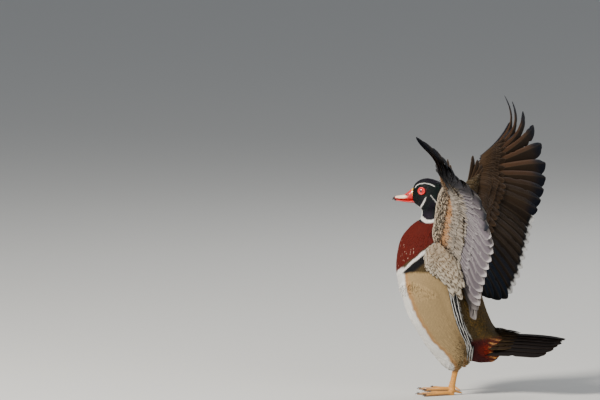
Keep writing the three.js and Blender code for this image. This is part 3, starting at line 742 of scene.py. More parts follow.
def make_skin():
    parts = [loft(body_rings(TRUNK_ROWS, 60, 48, -COAT)), loft(body_rings(HEAD_ROWS, 30, 40, -HEAD_COAT))]
    parts += [loft(body_rings(THROAT_ROWS, 8, 28, -COAT)), loft(tail_cone_rings(-COAT))]
    parts += [loft(flank_rings(side, -COAT)) for side in SIDES.values()]
    parts += [loft(wing.rings(-ARM_COAT)) for wing in WINGS.values()]
    mesh = fused(parts, 1.7, 6)
    verts, normals, tris = mesh_arrays(mesh)
    colours = plumage(verts)
    for wing in WINGS.values():
        far = (edge(wing.side * verts[:, 1] - 50, 8) * edge(verts[:, 2] - 198, 6))[:, None]
        colours = colours * (1 - far) + arm_colour(verts, wing) * far
    # Painted shade: the skin under the feathers is painted a fifth darker than the plumage
    paint(mesh, colours * 0.8)
    mesh.name = "skin"
    nodes = ["torso", "neck", "head", "wing_left", "wing_right", "tail"]
    add_piece("skin", mesh, SOFT, nodes)
    return verts, normals, tris


SAMPLES = 160000  # random points on the skin, thinned out to an even spacing
CELL_KEYS = np.array([1, 100003, 10000600009])  # give every cell of a grid a number of its own


def sample(skin, spacing, keep):
    """Points spread over the skin about spacing apart, where keep(points) is true."""
    verts, normals, tris = skin
    corners = verts[tris]
    area = np.linalg.norm(np.cross(corners[:, 1] - corners[:, 0], corners[:, 2] - corners[:, 0]), axis=1)
    middle = corners.mean(1)
    area = area * keep(middle)
    chosen = rng.choice(len(tris), SAMPLES, p=area / area.sum())
    a, b = rng.random((2, SAMPLES))
    a, b = np.where(a + b > 1, 1 - a, a), np.where(a + b > 1, 1 - b, b)
    weights = np.stack([1 - a - b, a, b], 1)[..., None]
    points = (corners[chosen] * weights).sum(1)
    facing = unit((normals[tris[chosen]] * weights).sum(1))
    cells = np.floor(points / spacing).astype(np.int64)
    _, first = np.unique(cells @ CELL_KEYS, return_index=True)
    return points[first], facing[first]


def spread(size, low=0.85, high=1.15):
    return rng.uniform(low, high, size)


def ruffled(directions, normals, amount):
    """Turns each direction a little about its normal."""
    turn = rng.normal(0, amount, len(directions))[:, None]
    return unit(directions * np.cos(turn) + np.cross(normals, directions) * np.sin(turn))


ARM_ASIDE, ARM_LOW = 57.5, 192  # skin this far aside and this high is the arm's


def near_arm(p):
    """True where a point of the skin belongs to an arm."""
    return (np.abs(p[:, 1]) > ARM_ASIDE) & (p[:, 2] > ARM_LOW)


def eye_clear(p):
    away = np.hypot(p[:, 0] - EYE[0], p[:, 2] - EYE[2])
    return (away > EYE_CLEARING) | (np.abs(p[:, 1]) < 8)


def bill_clear(p):
    return (p[:, 0] > -52.8) | (p[:, 2] < 262)


NECK_LINE = 250  # height at which the head's feathers take over from the body's
BODY_SPACING, HEAD_SPACING = 2.15, 0.98  # between the roots of small feathers
WHITE_TIP = np.array([5.5, 44, 68])  # turns maroon into a small white spot
BRONZE_TIP = np.array([2.6, 2.2, 1.2])


def clothe_body(skin):
    points, facing = sample(skin, BODY_SPACING,
                            lambda m: (m[:, 2] < NECK_LINE) & ~near_arm(m) & (m[:, 0] < 92))
    n = len(points)
    x, y, z = points.T
    lie = ruffled(lie_at(points), facing, 0.05)
    back_edge = np.interp(z, *FLANK_BACK)
    flank = edge(back_edge - x, 4) * edge(176 - z, 5)
    breast = edge(z - 172, 6) * edge(4 + 0.3 * (z - 200) - x, 8)
    size = mix(mix(10.0, 5.2, breast), 11.0, flank) * np.interp(z, [235, 250], [1, 0.7]) * spread(n)
    narrow = mix(mix(0.58, 0.55, breast), 0.30, flank)
    lift = mix(mix(1.15, 0.42, breast), 0.24, flank) * spread(n, 0.7, 1.4)
    bright = (1 + rng.uniform(-1, 1, n) * mix(0.12, 0.05, flank))[:, None] * np.ones(3)
    low = edge(212 - z, 26) * breast * edge(np.abs(y) - 2, 2)
    root, end = plumage(points), plumage(points + lie * 1.3 * size[:, None])
    red = (root[:, 0] > 9 * root[:, 1]) & (end[:, 0] > 9 * end[:, 1])
    spotted = ((rng.random(n) < 0.11 * low) & red)[:, None]
    tips = np.where(spotted, bright * WHITE_TIP, bright)
    brown = (x > back_edge + 14) & (z < 235)
    tips = np.where(brown[:, None], bright * BRONZE_TIP, tips)
    bend = mix(np.interp(z, [225, 245], [70, 40]), np.interp(z, [120, 140], [150, 85]), flank)
    add_tufts("body_feathers", SOFT, "body_plumage", points, lie, facing, size, size * narrow, lift, bright,
              tips, bend=bend, unwrap=skin_unwrap(points), marking=plumage)


def clothe_head(skin):
    points, facing = sample(skin, HEAD_SPACING, lambda m: (m[:, 2] > NECK_LINE - 5) & (np.abs(m[:, 1]) < 30)
                            & (m[:, 0] < 14) & eye_clear(m) & bill_clear(m))
    n = len(points)
    lie = ruffled(lie_at(points), facing, 0.05)
    size = np.interp(points[:, 0], [-56, -44, -20, 0], [2.0, 2.8, 4.4, 6.0]) * spread(n)
    bright = spread(n)[:, None] * np.ones(3)
    lift = 0.45 * spread(n, 0.6, 1.4)
    add_tufts("head_feathers", SILKY, "head_plumage", points, lie, facing, size, size * 0.36, lift, bright,
              bright * 1.1, bend=np.interp(points[:, 2], [256, 272], [140, 26]),
              unwrap=skin_unwrap(points), marking=plumage)


def clothe_arms():
    """Rows of lesser coverts on both faces of the arm, overlapping back to the trailing edge."""
    for wing in WINGS.values():
        roots, facings, lies, sizes, unwraps = [], [], [], [], []
        for face in (1, -1):
            for place in np.arange(ARM_START + 0.05, ARM_END, 0.034):
                for across in np.arange(-0.98, 0.86, 0.11):
                    spot = place + rng.uniform(-0.02, 0.02)
                    over = across + rng.uniform(-0.05, 0.05)
                    point, facing = wing.surface(spot, float(np.clip(over, -1, 0.95)), face)
                    if abs(point[1]) < 46:
                        continue
                    roots.append(point - facing * 0.6)
                    facings.append(facing)
                    lies.append(wing.axes(spot)[1] + wing.axes(spot)[0] * 0.12)
                    sizes.append(np.interp(place, [-1, 1, 2], [12.5, 10, 7]) * (1.0 + 0.35 * max(over, 0)))
                    v = (place - ARM_START) / (ARM_END - ARM_START)
                    unwraps.append([0.25 + 0.2 * across + 0.5 * (face < 0), 0.01 + 0.98 * v])
        points, facing, lie, size = map(np.array, (roots, facings, lies, sizes))
        n = len(points)
        size = size * spread(n)
        lie = ruffled(unit(lie), facing, 0.09)
        colours = arm_colour(points + lie * (size * 0.5)[:, None], wing) * spread(n)[:, None]
        below = colours[:, 0] > 0.09
        dark = (rng.random(n) < 0.30)[:, None]
        tips = np.where(below[:, None], np.where(dark, colours * 0.22, colours * 1.2), colours * 1.5)
        add_tufts(f"arm_feathers_{wing.name}", SOFT, "wing_feathers", points, lie, facing, size, size * 0.55,
                  0.6 * spread(n, 0.7, 1.4), colours, tips, bend=110.0, unwrap=np.array(unwraps))


# Large feathers: closed vanes with a raised shaft, cambered webs and small splits in the edges
ACROSS = np.array([-1, -0.75, -0.5, -0.25, -0.05, 0, 0.05, 0.3, 0.65, 1])


def along_feather(stations):
    """Places from root to end, closer together near the end."""
    return 1 - (1 - np.linspace(0, 1, stations)) ** 1.35


def round_end(u, start):
    return np.sqrt(np.maximum(0.02, 1 - np.maximum(0, (u - start) / (1 - start)) ** 2.3))


def drawn_end(u):
    return mix(1, 0.34, smooth((u - 0.35) / 0.4)) * round_end(u, 0.8)


def splits(count, amount):
    """A factor along an edge, 1 but for a few narrow notches."""
    cut = np.ones(count)
    for _ in range(rng.poisson(amount)):
        cut[rng.integers(count // 4, count - 1)] -= rng.uniform(0.06, 0.22)
    return cut


HALF_THICK = 0.14  # of a vane at its root
TRAIL = 0.1925  # how far the edges of a web lie behind its shaft near the tip, as a part of its width


def vane(feather, start, stop, widths, colour, stations, tilt, offset=0.0, camber=0.10, notches=2.0,
         sunk=None):
    """Arrays of one feather: widths are those of its outer and inner web at each station, offset lifts
    it off its line, and sunk is the lift at its root. colour(u, across, face) gives the paint, face 1
    above and -1 below."""
    u = along_feather(stations)
    t = mix(start, stop, u)
    rise = 2.6 * (t - t ** 3)
    slope = 2.6 * (1 - 3 * t * t) / feather["length"]
    direction, normal0, aside0 = feather["direction"], feather["normal"], feather["aside"]
    centre = feather["root"] + np.outer(feather["length"] * t, direction)
    centre += np.outer(feather["bow"] * rise, normal0) - np.outer(feather["sweep"] * rise, aside0)
    normal = unit(normal0 - np.outer(slope * feather["bow"], direction))
    aside = unit(aside0 + np.outer(slope * feather["sweep"], direction))
    lift = np.full(stations, offset) if sunk is None else mix(sunk, offset, np.minimum(1, u * 1.6))
    centre += normal * lift[:, None]
    lean = math.radians(tilt)
    web = aside * math.cos(lean) + normal * math.sin(lean)
    face = normal * math.cos(lean) - aside * math.sin(lean)
    outer, inner = widths
    left = (inner * splits(stations, notches))[:, None]
    right = (outer * splits(stations, notches))[:, None]
    reach = np.where(ACROSS > 0, right * ACROSS, left * ACROSS)
    high = 0.28 * (ACROSS == 0) * (1 - 0.7 * u)[:, None] - camber * ACROSS ** 2 * np.maximum(left, right)
    swept = TRAIL * np.abs(ACROSS) * np.minimum(left, right) * smooth((u - 0.5) * 2)[:, None]
    points = centre[:, None] + web[:, None] * reach[..., None] + face[:, None] * high[..., None]
    points = points - direction * swept[..., None]
    thick = face[:, None] * (HALF_THICK * (1 - 0.5 * u))[:, None, None]
    verts = np.concatenate([(points + thick).reshape(-1, 3), (points - thick).reshape(-1, 3)])
    columns = len(ACROSS)
    under = stations * columns
    i, j = np.meshgrid(np.arange(stations - 1), np.arange(columns - 1), indexing="ij")
    a = (i * columns + j).ravel()
    b, c, d = a + columns, a + columns + 1, a + 1
    faces = [np.stack([a, b, c, d], 1), np.stack([a, d, c, b], 1) + under]
    rim = np.concatenate([np.arange(0, under - columns, columns), np.arange(under - columns, under - 1),
                          np.arange(under - 1, columns - 1, -columns), np.arange(columns - 1, 0, -1)])
    after = np.roll(rim, -1)
    faces.append(np.stack([rim, rim + under, after + under, after], 1))
    grid_u, grid_c = (grid.ravel() for grid in np.meshgrid(u, ACROSS, indexing="ij"))
    painted = np.concatenate([colour(grid_u, grid_c, side) for side in (1, -1)])
    barbs = np.stack([reach, (feather["length"] * t)[:, None] - np.abs(reach) * 0.9], -1).reshape(-1, 2)
    flat = np.stack([grid_c * 0.5, grid_u - 0.5], 1)
    return verts, np.concatenate(faces), painted, np.tile(barbs, (2, 1)), np.tile(flat, (2, 1))


def add_feathers(name, material, made, places, patch=(0.003, 0.003)):
    """One piece of many vanes; places are the roots on the unwrap, patch the size of each on it."""
    colours, barbs = (np.concatenate([feather[i] for feather in made]) for i in (2, 3))
    flats = [place + feather[4] * patch for feather, place in zip(made, np.array(places))]
    add_arrays(name, (*joined(made), colours), material,
               maps={"OFBake": np.concatenate(flats), "Barbs": barbs})


SILVER = (0.074, 0.036, 0.018)
BLUE_BLACK = (0.003, 0.004, 0.009)
SPECULUM = (0.002, 0.007, 0.017)
GREY = (0.112, 0.096, 0.110)
PALE_EDGE = (0.37, 0.34, 0.35)
# The dark of the primaries' tips, and painted shade over the underside of the hand
HAND_DARK_AND_SHADE = (0.012, 0.014, 0.020)
SHAFT_DARK = (0.05, 0.035, 0.02)
SHAFT_PALE = (0.5, 0.47, 0.42)
TERTIALS = 4  # the innermost flight feathers, which have no white tips


def flight_colour(k):
    primary = k >= FIRST_PRIMARY
    bright = rng.uniform(0.85, 1.15)

    def paint_flight(u, c, face):
        rim = edge(np.abs(c) - 0.86, 0.2)
        outer = edge(c - 0.03, 0.05)
        if face > 0 and primary:
            silver = outer * smooth((k - FIRST_PRIMARY - 1) / 3) * edge(0.86 - u, 0.25)
            made = layered(u, BROWN * 0.7, (silver * 0.85, SILVER), (edge(u - 0.84, 0.12), BLUE_BLACK))
        elif face > 0 and k >= TERTIALS:
            blue = outer * edge(6 - k, 2.0) * edge(u - 0.4, 0.2)
            made = layered(u, BROWN * 0.35, (outer * 0.6, BROWN * 0.9), (blue * 0.7, SPECULUM),
                           (edge(u - 0.88, 0.04), BLACK), (edge(u + 0.045 * c * c - 0.945, 0.008), WHITE))
        elif face > 0:
            made = layered(u, BLACK, (0.7 * outer, SPECULUM), (rim * 0.3, BRONZE * 0.5))
        elif primary:
            # Painted shade: the undersides of the primaries are painted near black, fading in over the inner
            # five
            hand_shade = smooth((k - FIRST_PRIMARY) / 5)
            made = layered(u, GREY, (np.full(len(u), 0.95) * hand_shade, HAND_DARK_AND_SHADE),
                           (rim * edge(-c, 0.1) * 0.6 * (1 - hand_shade), PALE_EDGE),
                           (edge(u - 0.84, 0.14), HAND_DARK_AND_SHADE))
        else:
            made = layered(u, GREY, (edge(0.2 - u, 0.4) * 0.4, (0.16, 0.145, 0.135)), (rim * 0.8, PALE_EDGE),
                           (edge(u - 0.955, 0.03), PALE_EDGE),
                           (edge(TERTIALS - k, 1.5) * 0.8 * (u > 0), (0.09, 0.08, 0.075)))
        shaft = np.exp(-(c / 0.05) ** 2) * 0.5
        return blend_in(made, shaft, SHAFT_DARK if face > 0 else SHAFT_PALE) * bright

    return paint_flight


def clothe_wing(wing):
    made, places = [], []
    u = along_feather(26)
    for k in range(FLIGHT_COUNT):
        f = wing.flight(k)
        end = mix(round_end(u, 0.8), drawn_end(u), f["drawn"]) * mix(0.6, 1, np.minimum(1, u * 3))
        broad = 1 + 0.4 * smooth(u * 1.6 - 0.3) * smooth((FIRST_PRIMARY + 8 - k) / 3)
        start = 0.02 if f["place"] > 1 else 0.1
        stop = 1.1 if wing.name == "left" and k < 3 else 1.0
        made.append(vane(f, start, stop, (f["outer"] * end, f["inner"] * end * broad), flight_colour(k),
                         stations=26, tilt=9.0 + f["twist"], notches=2.5))
        places.append([0.04 + 0.92 * k / (FLIGHT_COUNT - 1), 0.5])
    add_feathers(f"flight_feathers_{wing.name}", STIFF, made, places, (0.03, 0.9))
    clothe_coverts(wing)
    clothe_thumb(wing)
    clothe_armpit(wing)


# Tiers of coverts: how much of the feather they cover, width, height (below the wing where negative),
# and how many to each flight feather
COVERTS = [
    ("greater", 0.45, 8.5, 3.0, 1),
    ("median", 0.335, 8.0, 4.6, 2),
    ("marginal", 0.25, 7.0, 6.0, 2),
    ("under_greater", 0.80, 9.0, -2.2, 1),
    ("under_median", 0.62, 8.4, -3.4, 2),
    ("under_lesser", 0.46, 8.0, -4.8, 2),
    ("under_marginal", 0.31, 7.0, -6.2, 2),
]


def covert_colour(tier, place):
    bright = rng.uniform(0.82, 1.18)
    speck = rng.uniform(0, 6)
    hand = float(smooth((place - 1.12) / 0.3))

    def paint_covert(u, c, face):
        rim = np.maximum(edge(np.abs(c) - 0.8, 0.25), edge(u - 0.93, 0.06))
        shaft = np.exp(-(c / 0.07) ** 2) * 0.5
        # Painted shade: the under coverts of the hand are painted near black
        darker = (np.full(len(u), 0.92 * hand), HAND_DARK_AND_SHADE)
        if not tier.startswith("under"):
            made = layered(u, BROWN, (rim * 0.5, BROWN * 2.2), (shaft, BLACK))
        elif tier in ("under_greater", "under_median"):
            made = layered(u, GREY, (edge(0.55 - u, 0.3) * 0.5, (0.09, 0.08, 0.085)), (rim * 0.85, PALE_EDGE),
                           (shaft, (0.10, 0.09, 0.09)), darker)
        else:
            bars = edge(np.sin(15 * u + 2.2 * np.abs(c) + speck) - 0.35, 0.4) * edge(np.abs(c) - 0.15, 0.2)
            made = layered(u, (0.25, 0.21, 0.172), (bars * 0.85, (0.05, 0.036, 0.024)),
                           (rim * 0.5, (0.40, 0.365, 0.32)), darker)
        return made * bright

    return paint_covert


def clothe_coverts(wing):
    u = along_feather(12)
    for tier, reach, width, height, share in COVERTS:
        made, places = [], []
        for k in np.arange(0, FLIGHT_COUNT - 0.5, 1.0 / share):
            feather = wing.flight(float(k))
            place = feather["place"]
            long = reach * (0.86 if place > 1.2 else 1) * rng.uniform(0.96, 1.04)
            sunk = math.copysign(min(abs(height), 0.55 * wing.arm(place)[2]), height)
            wide = width * (0.75 if place > 1.3 else 1.0) * (0.86 if share > 1 else 1) * round_end(u, 0.5)
            start = 0.02 if place > 1 else 0.09
            tilt = 9.0 + rng.uniform(-1.5, 1.5)
            made.append(vane(feather, start, long, (wide * 0.9, wide), covert_colour(tier, place),
                             stations=12, tilt=tilt, offset=height * rng.uniform(0.95, 1.05),
                             notches=0.8, sunk=sunk))
            places.append([0.03 + 0.94 * k / (FLIGHT_COUNT - 1), 0.1 + 0.8 * reach])
        add_feathers(f"coverts_{tier}_{wing.name}", STIFF, made, places)


# Place, angle and length of the thumb's feathers
THUMB = ((1.02, 99, 46), (1.08, 92, 40), (1.14, 85, 33), (1.2, 80, 27))


def clothe_thumb(wing):
    made, places = [], []
    wide = 4.5 * round_end(along_feather(14), 0.6)
    for i, (place, angle, length) in enumerate(THUMB):
        feather = wing.feather(place, length, angle, 4, 2)
        feather["root"] = feather["root"] + wing.axes(place)[1] * (3 * i - 5)
        made.append(vane(feather, 0, 1, (wide, wide), covert_colour("alula", place), stations=14, tilt=9.0,
                         offset=1.4 + i))
        places.append([0.4 + 0.05 * i, 0.5])
    add_feathers(f"thumb_feathers_{wing.name}", STIFF, made, places)


def free_feather(root, direction, normal, length, bow, side):
    """A feather away from a wing's own axes, with its normal turned square to its direction."""
    normal = unit(normal - direction * (normal @ direction))
    return {
        "root": root,
        "direction": direction,
        "normal": normal,
        "aside": np.cross(direction, normal) * side,
        "length": length,
        "bow": bow,
        "sweep": 0.0,
    }


def armpit_colour(middle):
    speck = rng.uniform(0, 6)
    bright = rng.uniform(0.85, 1.12)

    def paint_armpit(u, c, face):
        rim = np.maximum(edge(np.abs(c) - 0.8, 0.2), edge(u - 0.93, 0.05))
        bars = edge(np.sin(17 * u + 3 * np.abs(c) + speck) - 0.15, 0.4) * edge(np.abs(c) - 0.12, 0.15)
        return layered(u, (0.38, 0.33, 0.262), (rim * 0.35, (0.50, 0.46, 0.39)),
                       (bars * 0.95, (0.05, 0.035, 0.02)),
                       (np.full(len(u), 0.4 * middle), (0.24, 0.15, 0.075))) * bright

    return paint_armpit


# Where the armpit's feathers reach from the shoulder: angle below the horizon towards the front, and reach
ARMPIT_REACH = ([44, 56, 64, 70, 76, 92, 118, 131, 158], [44, 64, 82, 82, 58, 46, 38, 31, 16])
ARMPIT_TIERS = 7


def clothe_armpit(wing):
    """Tiers of pale spotted feathers that hang from shoulder and upper arm over the side of the body."""
    made, places = [], []
    side = wing.side
    normal = unit([0.05, side, 0.16])
    for tier in range(ARMPIT_TIERS):
        depth = tier / (ARMPIT_TIERS - 1)
        for angle in np.arange(44 + 3.5 * (tier % 2), 156, 7.0):
            spin = math.radians(angle + rng.uniform(-1.5, 1.5))
            down = np.array([math.cos(spin), 0, -math.sin(spin)])
            far = np.interp(angle, *ARMPIT_REACH)
            length = min(mix(22, 30, depth), 0.72 * far) * rng.uniform(0.92, 1.06)
            start = mix(-2, far - length * 0.93, depth)
            out = 55.0 + 6.5 * (1 - depth) + 3.0 * max(0, math.cos(spin)) * depth
            root = np.array([-6, side * out, 216]) + down * start
            feather = free_feather(root, unit(down + [0, side * 0.03, 0]), normal, length, 1.5, side)
            wide = mix(3.8, 4.8, depth) * round_end(along_feather(10), 0.45)
            made.append(vane(feather, 0, 1, (wide, wide), armpit_colour(1 - depth), stations=10, tilt=4.0,
                             notches=0.6))
            places.append([0.1 + 0.8 * (angle - 44) / 90, 0.1 + 0.5 * depth])
    add_feathers(f"armpit_feathers_{wing.name}", SOFT, made, places)


# Long barred feathers along the rear edge of the flank: how far behind it each row starts, and half width
FLANK_EDGE_ROWS = ((0.0, 1.35), (3.2, 1.5), (6.6, 1.4))


def flank_edge_colour(u, c, face):
    return layered(u, BLACK * 2, (edge(0.34 - np.abs(c + 0.1), 0.2) * edge(u - 0.12, 0.1), WHITE * 0.8))


def clothe_flank_edge(skin):
    verts, normals, _ = skin
    made, places = [], []
    for side in SIDES.values():
        near = verts[:, 1] * side > 12
        own, facing = verts[near], normals[near]
        for row, (ahead, wide) in enumerate(FLANK_EDGE_ROWS):
            shape = wide * round_end(along_feather(12), 0.4)
            for z in np.arange(162 - 4 * row, 66, -9.0):
                x, below = np.interp([z, z - 24], *FLANK_BACK) + ahead
                spot = ((own[:, 0] - x) ** 2 + (own[:, 2] - z) ** 2 - 3 * own[:, 1] * side).argmin()
                normal = facing[spot]
                direction = unit([below - x, 0, -24.0])
                direction = unit(direction - normal * (direction @ normal))
                root = own[spot] - normal * 0.2 + normal * 0.8 * row
                feather = free_feather(root, direction, normal, 26.0, 0.7, side)
                made.append(vane(feather, 0, 1, (shape, shape), flank_edge_colour, stations=12, tilt=3.0,
                                 offset=1.5, notches=0.3))
                places.append(skin_unwrap(own[spot][None])[0])
    add_feathers("flank_edge_feathers", SOFT, made, places)


# The tail: broad feathers in a steep arch, with coverts above and below
TAIL_FEATHERS = 14
TAIL_ROOT = {"x": 46, "half_width": 13, "z": 85, "drop": 21, "shorter": 0}
TAIL_TIP = {"x": 165, "half_width": 30, "z": 81, "drop": 18, "shorter": 20}


def tail_feather(s, reach):
    square = s * s
    root, tip = (np.array([end["x"] - end["shorter"] * square, s * end["half_width"],
                           end["z"] - end["drop"] * square]) for end in (TAIL_ROOT, TAIL_TIP))
    normal = np.array([0, 1.9 * s * TAIL_ROOT["drop"] / TAIL_TIP["half_width"], 1.0])
    return free_feather(root, unit(tip - root), normal, np.linalg.norm(tip - root) * reach, 3, -1)


def tail_colour(kind):
    bright = rng.uniform(0.85, 1.2)

    def paint_tail(u, c, face):
        rim = np.maximum(edge(np.abs(c) - 0.85, 0.2), edge(u - 0.96, 0.04))
        shaft = np.exp(-(c / 0.05) ** 2)
        kinds = {
            "upper": (BROWN * 0.45, (rim * 0.45, BRONZE), (shaft * 0.4, BLACK)),
            "under": (DARK_MAROON * 0.4, (rim * 0.3, BROWN)),
            "main": (TAIL_BLACK * 0.8, (rim * 0.2, BROWN), (shaft * 0.3, BROWN * 0.6)),
        }
        return layered(u, *kinds[kind]) * bright

    return paint_tail


# Name, kind and places of each layer, how much of the feather it covers, width, height and start
TAIL_LAYERS = [
    ("tail_feathers", "main", np.linspace(-1, 1, TAIL_FEATHERS), 1.0, 10, 0.0, 0.1),
    ("tail_coverts_upper", "upper", np.linspace(-0.9, 0.9, 13), 0.46, 8, 3.6, 0.1),
    ("tail_coverts_back", "upper", np.linspace(-0.95, 0.95, 15), 0.32, 7.5, 5.6, 0.02),
    ("tail_coverts_under", "under", np.linspace(-0.85, 0.85, 11), 0.62, 9, -3.6, 0.1),
    ("tail_coverts_vent", "under", np.linspace(-0.9, 0.9, 11), 0.42, 9, -6.0, 0.05),
]


def clothe_tail():
    for name, kind, spots, reach, width, height, start in TAIL_LAYERS:
        made, places = [], []
        wide = width * round_end(along_feather(20), 0.75 if kind == "main" else 0.5)
        for s in spots:
            feather = tail_feather(s, reach * rng.uniform(0.97, 1.02))
            aside = abs(s) > 0.04
            tilt = 7.0 * math.copysign(1, s) if aside else 0.0
            lift = height if aside else height + 1.6
            made.append(vane(feather, start, 1.0, (wide, wide), tail_colour(kind), stations=20, tilt=tilt,
                             offset=lift, camber=0.06))
            places.append([0.5 + 0.45 * s, 0.98])
        add_feathers(name, STIFF, made, places)


# The crest: long silky feathers from the crown that droop behind the nape
def clothe_crest():
    made, places = [], []
    u = np.linspace(0, 1, 9)
    j = np.arange(4)
    k = (j + 1) % 4
    faces = [np.stack([s * 4 + j, s * 4 + k, (s + 1) * 4 + k, (s + 1) * 4 + j], 1) for s in range(8)]
    faces = np.concatenate(faces + [[[3, 2, 1, 0], [32, 33, 34, 35]]])
    flat = np.stack([np.tile([-0.5, 0, 0.5, 0], 9), np.repeat(u - 0.5, 4)], 1)
    for _ in range(90):
        aside = rng.uniform(-15.5, 15.5)
        start = rng.uniform(-27, -8)
        length = mix(46, 26, (abs(aside) / 16) ** 1.3) * rng.uniform(0.8, 1.02)
        height = rng.uniform(-1.5, 2.6) * (1 - abs(aside) / 22)
        run = length * u
        x = start + 0.74 * run - 0.0065 * run * run
        droop = 0.12 * run + 0.0155 * run * run
        z = 300.5 + height - 0.12 * abs(start + 16) - 0.045 * aside * aside - droop
        line = np.stack([x, aside * (1 - 0.28 * u), z], 1)
        normal = unit(np.stack([0.12 + 0.031 * run, np.full(9, 0.06 * aside), np.full(9, 0.74)], 1))
        across = unit(np.cross(np.gradient(line, axis=0), normal))
        half = 1.5 * np.sqrt(np.maximum(0.02, np.sin(np.pi * np.minimum(1, 0.12 + 0.88 * u))))[:, None]
        ring = [line - across * half, line + normal * 0.35, line + across * half, line - normal * 0.15]
        verts = np.stack(ring, 1).reshape(-1, 3)
        colours = layered(verts, GREEN, (0.4 + 0.6 * ripple(verts, 9), PURPLE)) * rng.uniform(0.8, 1.25)
        made.append((verts, faces, colours, flat * 4, flat))
        places.append([0.5 + 0.02 * aside, 0.2 + 0.01 * (start + 27)])
    add_feathers("crest_feathers", SILKY, made, places)


# The bill: two smooth forms that meet in the line of the mouth, with nostrils
UPPER_BILL_ROWS = [
    [-48, 292.5, 275, 8.6],
    [-54, 291.2, 274.3, 8.2],
    [-60, 286.4, 273.8, 7.6],
    [-66, 282.3, 274.2, 7],
    [-72, 281, 274.8, 6.6],
    [-78, 280, 275, 6.2],
    [-81.5, 278.2, 274.2, 4.6],
    [-83.2, 276.2, 273.2, 2.2],
]
LOWER_BILL_ROWS = [
    [-48, 275.2, 270.3, 7.2],
    [-56, 274.4, 270, 6.6],
    [-64, 274.1, 270.8, 5.8],
    [-72, 274.9, 271.8, 5],
    [-78, 275.1, 272.4, 3.8],
    [-80.5, 274.6, 272.8, 1.6],
]
NOSTRIL = {"x": -60.5, "z": 281.6, "half_length": 3.0, "half_height": 1.15}
BILL_BASE, BILL_LENGTH = -48, 35.2
BILL_RED = np.array([0.60, 0.012, 0.012])
BILL_PALE = (0.86, 0.66, 0.50)
BILL_YELLOW = (0.80, 0.42, 0.04)


def bill_rings(rows):
    c, s = circle(56)
    made = []
    for x, top, bottom, half_width in read_rows(rows, np.linspace(0, 1, 70)):
        z = (top + bottom) / 2 + c * (top - bottom) / 2
        made.append(np.stack([np.full(56, x), powered(s, 0.9) * half_width, z], 1))
    return np.array(made)


def make_bill():
    verts, faces = loft(bill_rings(UPPER_BILL_ROWS))
    x, y, z = verts.T
    pit = np.hypot((x - NOSTRIL["x"]) / NOSTRIL["half_length"], (z - NOSTRIL["z"]) / NOSTRIL["half_height"])
    deep = smooth(1.25 - pit)
    rim = np.exp(-((pit - 1.35) / 0.3) ** 2)
    verts[:, 1] -= np.sign(y) * (1.5 * deep - 0.25 * rim)
    pale = edge(0.95 - np.hypot((x + 70) / 9.5, (z - 279.2) / 2.8), 0.35) * edge(np.abs(y) - 1.6, 1.2)
    top = read_rows(UPPER_BILL_ROWS, (BILL_BASE - x) / BILL_LENGTH)[:, 1]
    ridge = edge(2.4 - np.abs(y), 1.2) * edge(z - top + 1.8, 0.8) * edge(-56 - x, 3)
    colour = layered(
        verts, BILL_RED,
        (pale, BILL_PALE),
        (ridge, (0.02, 0.015, 0.015)),
        (edge(-78.8 - x, 1.0), (0.02, 0.012, 0.012)),
        (edge(x + 53.4 + 0.25 * (z - 283), 0.9), BILL_YELLOW),
        # Painted shade: the nostril's pit is painted near black
        (deep, (0.04, 0.006, 0.006)),
    )
    add_arrays("bill_upper_skin", (verts, faces, colour), HORN, ["bill_upper"])
    verts, faces = loft(bill_rings(LOWER_BILL_ROWS))
    colour = layered(verts, BILL_RED * 0.8, (edge(-77.5 - verts[:, 0], 2), (0.03, 0.015, 0.015)))
    add_arrays("bill_lower_skin", (verts, faces, colour), HORN, ["bill_lower"])


# The eyes: a ball with its iris and pupil turned outwards, and the red ring of the lids
PUPIL, IRIS = 1.75, 4.2


def make_eye(name):
    side = SIDES[name]
    outward = unit([-0.28, side, 0.06])
    first = unit(np.cross(outward, [0, 0, 1]))
    second = np.cross(outward, first)
    centre = EYE * [1, side, 1] - outward * 0.2 + np.array([0, side * 0.9, 0])
    c, s = circle(48)
    around = np.outer(c, first) + np.outer(s, second)
    rings = [centre + (outward * math.cos(angle) + around * math.sin(angle)) * EYE_RADIUS
             for angle in np.linspace(0.02, math.pi - 0.02, 60)]
    verts, faces = loft(np.array(rings))
    off = verts - centre
    axial = off @ outward
    radial = np.sqrt(np.maximum(0, (off ** 2).sum(1) - axial ** 2))
    fibres = 1 + 0.25 * np.sin(40 * np.arctan2(off[:, 2], off[:, 0]))
    colour = layered(
        verts, np.array([0.58, 0.008, 0.014]) * fibres[:, None],
        (edge(radial - IRIS + 0.3, 0.6), (0.10, 0.004, 0.004)),
        (np.maximum(edge(PUPIL - radial, 0.25), edge(2 - axial, 0.5)), (0.002, 0.002, 0.002)),
    )
    add_arrays(f"eye_ball_{name}", (verts, faces, colour), WET, [f"eye_{name}"])
    make_lids(name, centre, first, second, outward)


def make_lids(name, centre, first, second, outward):
    c, s = circle(14)
    rings = []
    for a in 2 * math.pi * np.arange(72) / 72:
        across = first * math.cos(a) + second * math.sin(a) * 0.93
        wide = 1.05 + 0.08 * math.sin(9 * a)
        middle = centre + outward * 3.6 + across * 4.75
        rings.append(middle + np.outer(c * wide, unit(across)) + np.outer(s * 0.95, outward))
    i, j = np.meshgrid(np.arange(72), np.arange(14), indexing="ij")
    nxt, up = (i + 1) % 72, (j + 1) % 14
    faces = np.stack([nxt * 14 + j, nxt * 14 + up, i * 14 + up, i * 14 + j], -1).reshape(-1, 4)
    verts = np.concatenate(rings)
    add_arrays(f"eye_lids_{name}", (verts, faces, layered(verts, (0.66, 0.020, 0.018))), HORN)


# Legs and feet: the frame's solids made smooth, scaly skin with darker webs, and claws
FEET = {
    "left": {"ankle": (8, -25, 8), "turn": -8},
    "right": {"ankle": (-2, 25, 8), "turn": 8},
}
TOES = [(-34, 41), (0, 50), (32, 46)]  # angle and length
LEG_YELLOW = (0.62, 0.27, 0.045)


